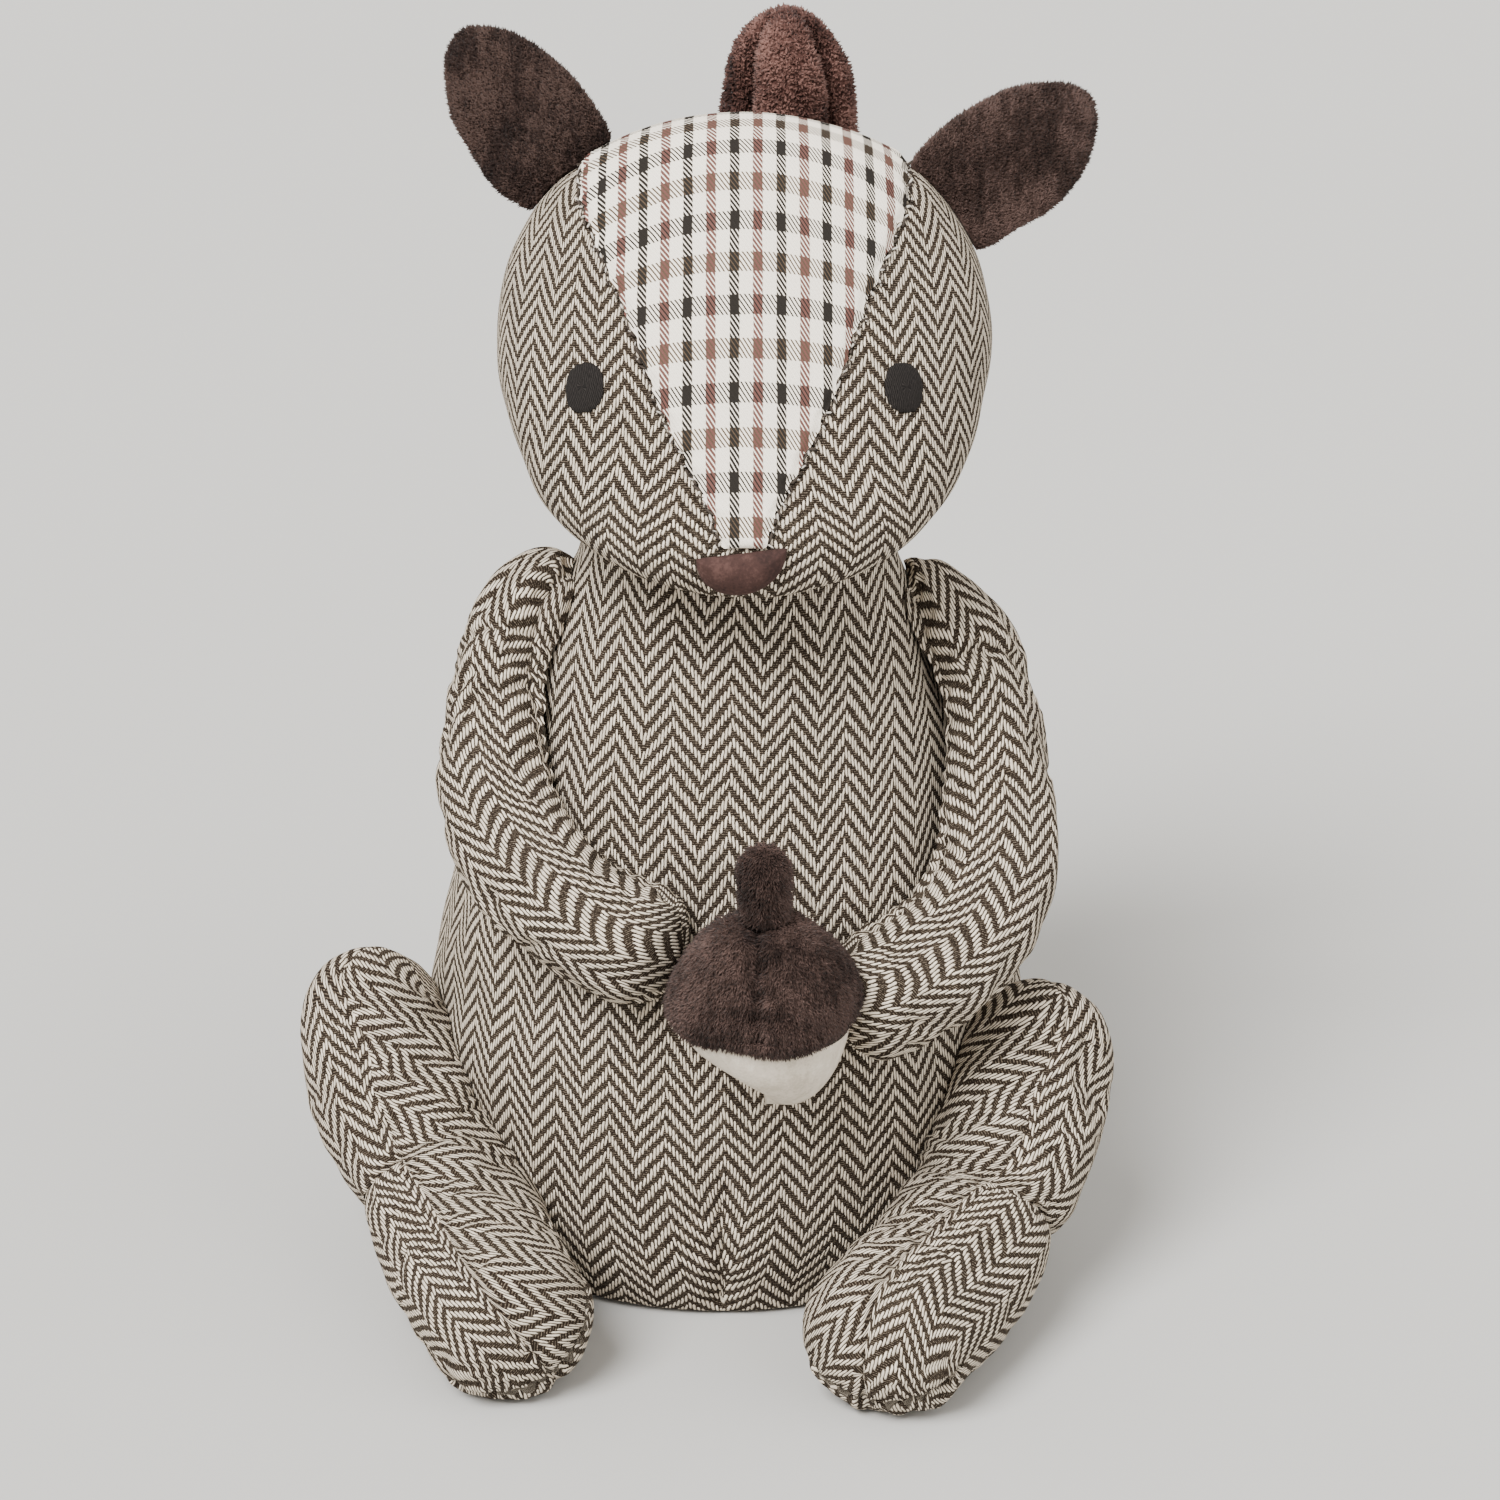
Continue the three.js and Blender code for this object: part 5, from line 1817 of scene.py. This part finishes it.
@dataclass
class Leg(Limb):
    """Tweed leg with its top seam, knee crease and gathered toe. Folds have a fan, a depth and a width."""

    name: str = "leg"
    fill: float = 0.85
    radius: float = 17.6
    waves: tuple[float, float] = (190, 37)
    valley: float = 0.07
    puckers: tuple[float, float, float] = (0.3, 0.3, 0.7)
    foot_radius: float = 17
    knee: float = 0.46
    knee_pinch: float = 0.07
    inner_turn: float = math.radians(52)
    folds: Sequence[tuple[float, float, float]] = (
        (0.012, 0.6, 0.011), (0.034, 0.5, 0.01), (-0.014, 0.5, 0.009), (0.058, 0.4, 0.009), (-0.04, 0.3, 0.01),
    )

    @property
    def outer_side(self) -> float:
        """Sign of the angles on the leg's outer side."""
        return 1.0 if self.left else -1.0

    def shape(self, run: Array, angle: Array) -> Array:
        """Share of the radius: front seam, knee folds that fan from the outer side, and toe gathers."""
        out = self.outer_side * np.sin(angle + self.turned(run))
        top = 0.5 + 0.5 * np.cos(angle + self.turned(run) + 0.5 * self.outer_side)
        pinch = self.knee_pinch * (0.3 + 0.7 * np.maximum(out, top)) * bump(run - self.knee, 0.035)
        folds = 0.0
        for fan, depth, width in self.folds:
            line = run - self.knee - fan * (out - 1)
            folds = folds + depth * bump(line, width) * (0.25 + 0.75 * top)
        end = 1 - run
        rim = 0.7 * bump(end - 0.075, 0.012) * (1 - top)
        rim = rim + 0.35 * bump(end, 0.07) * np.sin(17 * angle) * (1.15 - top)
        return 1 - pinch - (self.sewn(run, angle) + folds + rim) / self.radius

    def skin(self) -> Skin:
        """The leg's cloth with its map."""
        azimuth, rise, pressed = np.array(self.stations).T
        height = self.foot_radius + rise * self.radius
        route = Route(BODY.place(np.radians(azimuth), height, self.radius * (1 - pressed)))
        radius = smooth([(0, 16.6), (0.3, self.radius), (0.75, self.radius), (1, self.foot_radius)])
        tube = Tube(route, radius, (15, 12), always(0, 0, 1), self.shape, seam=self.turned)
        skin = stuffed(tube, 61 if self.left else 62)
        self.turn_inner_panel(skin)
        return skin

    def turn_inner_panel(self, skin: Skin) -> None:
        """Turns the cloth of the inner panel, which was cut across the outer one."""
        half = skin.points.shape[1] // 2
        columns = slice(half, None) if self.left else slice(0, half)
        along, aside = math.cos(self.inner_turn), self.outer_side * math.sin(self.inner_turn)
        for edge in (skin.low, skin.high):
            u, v = edge[:, columns, 0].copy(), edge[:, columns, 1].copy()
            edge[:, columns, 0], edge[:, columns, 1] = along * u + aside * v, along * v - aside * u


@dataclass
class Tail:
    """Plush tail up the back, drawn into pleats at its tip."""

    radius: float = 24
    tip_radius: float = 13
    folds: float = 7
    fold_depth: float = 0.32
    fold_drift: float = 1.2
    nap: float = 2
    hidden_cover: float = 0.3
    shown_from: tuple[float, float] = (200, 235)
    up_back: Sequence[tuple[float, float, float]] = (
        (90, 0.058, -1.08), (90, 0.174, -0.33), (91, 0.407, -0.04), (91, 0.669, 0.21),
    )
    up_head: Sequence[tuple[float, float, float]] = (
        (0.29, -0.17, -0.85), (0.4, -0.08, 0.18), (0.42, -0.17, 0.81), (0.4, -0.29, 1.31),
    )

    def shape(self, run: Array, angle: Array) -> Array:
        """Share of the radius: pleats that deepen towards the tip."""
        drift = self.fold_drift * (0.35 + 1.6 * eased(run, 0.72, 1.0))
        sway = 0.25 * np.cos(angle) * eased(0.97 - run, 0, 0.2)
        ridge = np.abs(np.sin(angle * self.folds / 2 + drift * np.sin(angle) + sway))
        deepening = 0.12 + 0.88 * eased(run, 0.55, 0.93)
        crease = 0.16 * bump(ridge, 0.2) * eased(run, 0.5, 0.85)
        return 1 - self.fold_depth * deepening * (1 - ridge) ** 1.5 - crease

    def skin(self) -> Skin:
        """The tail's cloth, a little inside its pile."""
        clear = self.radius - self.nap
        back = [BODY.place(math.radians(a), share * BODY.neck_level, clear + gap * self.radius)
                for a, share, gap in self.up_back]
        head = [np.array([HEAD.shift + shift * self.radius, HEAD.half_height + clear + gap * self.radius,
                          HEAD.level + height * HEAD.half_height]) for shift, gap, height in self.up_head]
        middle = (self.radius + self.tip_radius) / 2
        radius = smooth([(0, 0.6 * self.radius), (0.3, self.radius - 1), (0.55, self.radius), (0.8, middle),
                         (0.92, self.tip_radius + 2), (1, self.tip_radius)])
        tube = Tube(Route(np.array(back + head)), radius, (12, 15), always(0, 1, 0), self.shape, 140, cap_rows=20)
        skin = tube.skin()
        return skin.pushed(0.7 * lumps(skin.points, 12, 71) - 0.5)

    def build(self, body_seat: bpy.types.Object, head_seat: bpy.types.Object) -> None:
        """Makes, trims and dresses the tail."""
        piece = trimmed(self.skin().made("plush_tail"), body_seat, head_seat)

        def clear(points: Array) -> Array:
            """Room above points."""
            return np.minimum(HEAD.gap(points), BODY.gap(points))

        def cover(points: Array) -> Array:
            """Share of the tufts, fewer where the head hides the tail."""
            return self.hidden_cover + (1 - self.hidden_cover) * eased(points[:, 2], *self.shown_from)

        pile = Pile(length=1.2, width=0.48, density=3.2, lean=0.7, seed=9, cover=cover)
        pile.grown(piece, ROSE_PLUSH, clear)
        dressed(piece, ROSE_PLUSH, "tail")


@dataclass
class Acorn:
    """Plush cap and stem over a suede nut."""

    level: float = 86
    shift: float = 9
    cap_radius: float = 20.3
    cap_height: float = 20
    cap_lip: float = 5
    nut_radius: float = 18.2
    nut_height: float = 18
    nut_crown: float = 10.8
    stem_radius: float = 5.7
    stem_sink: float = 5
    stem_length: float = 21
    rim_tilt: float = 0.3
    pile: float = 1.5
    seat_gap: float = 0.3

    def on_axis(self, radius: Array, angle: Array, height: Array) -> Array:
        """Point by its distance and angle from the acorn's axis."""
        foot = BODY.place(1.5 * math.pi, self.level, self.cap_radius)
        radius, angle, height = np.broadcast_arrays(radius, angle, np.asarray(height, float))
        x = self.shift + radius * np.cos(angle)
        return np.stack([x, foot[1] + radius * np.sin(angle), self.level + height], axis=-1)

    def rounded(self, radius: float, above: tuple[float, float], below: tuple[float, float]) -> Skin:
        """Skin with its own height and squareness above and below."""
        swing = np.linspace(-math.pi / 2, math.pi / 2, 90)[:, None]
        angle = ring(120)[None, :]
        height = np.where(swing > 0, above[0], below[0] * (1 + self.rim_tilt * np.cos(angle)))
        square = np.where(swing > 0, above[1], below[1])
        return Skin.of(self.on_axis(radius * np.clip(np.cos(swing), 0, 1) ** square, angle, height * np.sin(swing)))

    def stem(self) -> Skin:
        """The stem's cloth."""
        foot = self.cap_height - self.stem_sink
        route = Route(np.array([
            self.on_axis(0.0, 0.0, foot),
            self.on_axis(0.0, 0.0, foot + 0.6 * self.stem_length),
            self.on_axis(1.0, math.radians(126), foot + self.stem_length),
        ]))
        radius = smooth([(0, self.stem_radius - 0.5), (1, self.stem_radius)])
        caps = (2, self.stem_radius)
        tube = Tube(route, radius, caps, always(0, -1, 0), around=64, rows=40, cap_rows=12)
        return tube.skin().pushed(-0.6)

    def build(self, body_seat: bpy.types.Object) -> list[bpy.types.Object]:
        """Makes and dresses the acorn.

        Returns:
            Skins of the cap and the nut grown by the seat gap, for trimming the arms.
        """
        cap = self.rounded(self.cap_radius, (self.cap_height, 0.9), (self.cap_lip, 0.6))
        nut = self.rounded(self.nut_radius, (self.nut_crown, 0.85), (self.nut_height, 0.85))
        cap_seat = cap.pushed(self.seat_gap).made("cap_seat")
        nut_seat = nut.pushed(self.seat_gap).made("nut_seat")
        aside = cap.points[..., 0] - self.shift + 1.5
        pucker = 1.6 * bump(aside, 1.6) + 0.7 * bump(aside, 5) * np.sin(cap.points[..., 2] * TURN / 5)
        front = (cap.points[..., 1] < self.on_axis(0.0, 0.0, 0.0)[1]) & (cap.points[..., 2] > self.level)
        cloth = cap.pushed(0.7 * lumps(cap.points, 10, 81) - 0.7 - np.where(front, pucker, 0))
        piece = trimmed(cloth.made("acorn_cap_plush"), body_seat)
        pile = Pile(self.pile, width=0.3, density=8.0, lean=0.45, seed=11, comb=(0.0, -0.5, -1.1))
        pile.grown(piece, LIT_EAR_AND_CAP_PLUSH, BODY.gap)
        dressed(piece, LIT_EAR_AND_CAP_PLUSH, "acorn_cap")
        stem = trimmed(self.stem().made("acorn_stem_plush"), cap_seat, body_seat)
        replace(pile, seed=12, comb=(0.0, -0.4, -0.9)).grown(stem, LIT_EAR_AND_CAP_PLUSH, BODY.gap)
        dressed(stem, LIT_EAR_AND_CAP_PLUSH, "acorn_stem")
        suede = trimmed(nut.pushed(0.2 * lumps(nut.points, 9, 82)).made("acorn_nut_suede"), cap_seat, body_seat)
        dressed(suede, SUEDE, "acorn_nut")
        return [cap_seat, nut_seat]


# Routes of the limbs. Arms have an azimuth, a share of the way from the acorn up to the neck
# and a press into the body, legs an azimuth, a rise in radii and a press. Seams have a share
# of the length and degrees.

LEFT_ARM = (
    (-176, 0.756, 1.51), (-172, 0.721, 0.745), (-165, 0.593, 0.56), (-153, 0.419, 0.6),
    (-139, 0.267, 0.49), (-123, 0.163, 0.38), (-109, 0.099, 0.31), (-98, 0.058, 0.23),
)
RIGHT_ARM = (
    (2, 0.709, 1.58), (-5, 0.686, 0.78), (-10, 0.558, 0.45), (-20, 0.326, 0.38),
    (-32, 0.14, 0.31), (-45, 0.023, 0.27), (-59, -0.041, 0.27), (-72, -0.07, 0.2),
)
LEFT_ARM_SEAM = ((0, -82), (0.2, -104), (0.42, -114), (0.6, -122), (0.8, -114), (1, -104))
RIGHT_ARM_SEAM = ((0, 100), (0.2, 116), (0.42, 126), (0.6, 124), (0.8, 114), (1, 104))
LEFT_LEG = (
    (-178, 2.5, 0.6), (-170, 2.05, 0.32), (-159, 1.25, 0.375), (-145, 0.51, 0.4),
    (-131, 0.085, -0.14), (-117, -0.03, -1.1), (-111, -0.11, -1.7),
)
RIGHT_LEG = (
    (-16, 2.5, 0.77), (-25, 2.05, 0.49), (-35, 1.19, 0.375), (-46, 0.4, 0.09),
    (-60, 0.03, -0.53), (-71, -0.06, -1.39), (-75, -0.17, -1.95),
)
LEFT_LEG_SEAM = ((0, 18), (0.2, 30), (0.42, 50), (0.5, 41), (0.62, 32), (1, 34))
RIGHT_LEG_SEAM = ((0, -18), (0.15, -27), (0.36, -30), (0.47, -17), (0.6, -9), (1, -3))


@dataclass
class Studio:
    """Camera, pale floor and soft light."""

    target: tuple[float, float, float] = (0.006, 0.0, 0.113)
    distance: float = 1.0
    elevation: float = math.radians(22)
    lens: float = 108

    def camera(self) -> None:
        """Sets the camera at the photograph's angle."""
        data = bpy.data.cameras.new("camera")
        data.lens, data.sensor_width, data.clip_start = self.lens, 36, 0.05
        camera = added("camera", data)
        back = Vector((0, -math.cos(self.elevation), math.sin(self.elevation)))
        camera.location = Vector(self.target) + back * self.distance
        camera.rotation_euler = back.to_track_quat("Z", "Y").to_euler()
        bpy.context.scene.camera = camera

    def lamp(self, name: str, way: tuple[float, float, float], strength: float, softness: float) -> None:
        """Adds a soft sun that shines from a direction."""
        data = bpy.data.lights.new(name, "SUN")
        data.energy, data.angle = strength, math.radians(softness)
        added(name, data).rotation_euler = Vector(way).to_track_quat("Z", "Y").to_euler()

    def build(self) -> None:
        """Sets up the stage."""
        self.camera()
        self.lamp("key", (-0.5, -0.72, 1.0), strength=6.3, softness=30)
        self.lamp("fill", (0.9, -0.6, 0.5), strength=1.2, softness=60)
        floor = cloth_object("floor", np.array([[-4, -4, 0], [4, -4, 0], [4, 4, 0], [-4, 4, 0]], float),
                             np.arange(4), np.array([4]), np.zeros((4, 2)))
        material, g, shader = principled("studio_floor_finish")
        shade = g.mix(g.noise(in_millimetres(g), 0.002, 2.0), paint(181, 180, 177), paint(186, 185, 182))
        g.feed(shader.inputs["Base Color"], shade)
        shader.inputs["Roughness"].default_value = 0.9
        floor.data.materials.append(material)
        world = bpy.data.worlds.new("studio")
        world.use_nodes = True
        bpy.context.scene.world = world
        g = Graph(world.node_tree)
        back = world.node_tree.nodes["Background"]
        seen = g.add("ShaderNodeLightPath", "Is Camera Ray")
        g.feed(back.inputs["Color"], g.mix(seen, paint(232, 229, 224), paint(236, 236, 235)))
        g.feed(back.inputs["Strength"], 1.4 - seen * 0.46)


def main() -> None:
    """Builds the door stop and its stage."""
    logging.basicConfig(level=logging.INFO, format="%(message)s")
    Studio().build()
    outside, body = Torso().build()
    head_skin, patch_skin = SquirrelHead().build()
    skins = {"body_seat": outside, "head_seat": head_skin, "patch_seat": patch_skin}
    body_seat, head_seat, patch_seat = (skin.pushed(SEAT_GAP).made(name) for name, skin in skins.items())
    dressed(trimmed(body, head_seat), TWEED, "body")
    Ear("left", math.radians(144), math.radians(-36.2)).build(head_seat, patch_seat)
    # The right ear gets the lighter plush as painted light, for the extra light that this ear catches
    Ear("right", math.radians(24), math.radians(52.7), finish=LIT_EAR_AND_CAP_PLUSH).build(head_seat, patch_seat)
    acorn_seats = Acorn().build(body_seat)
    arm_gap = ARM_GAP - (ARM_GAP - SEAT_GAP) * eased(outside.points[..., 2], *SHOULDER_LEVELS)
    arm_seat = outside.pushed(arm_gap).made("arm_seat")
    for side, stations, seam in (("left", LEFT_ARM, LEFT_ARM_SEAM), ("right", RIGHT_ARM, RIGHT_ARM_SEAM)):
        Arm(side, stations, seam).build([arm_seat, head_seat, *acorn_seats])
    for side, stations, seam in (("left", LEFT_LEG, LEFT_LEG_SEAM), ("right", RIGHT_LEG, RIGHT_LEG_SEAM)):
        Leg(side, stations, seam).build([body_seat])
    Tail().build(body_seat, head_seat)
    for seat in (body_seat, arm_seat, head_seat, patch_seat, *acorn_seats):
        bpy.data.objects.remove(seat)


if __name__ == "__main__":
    main()
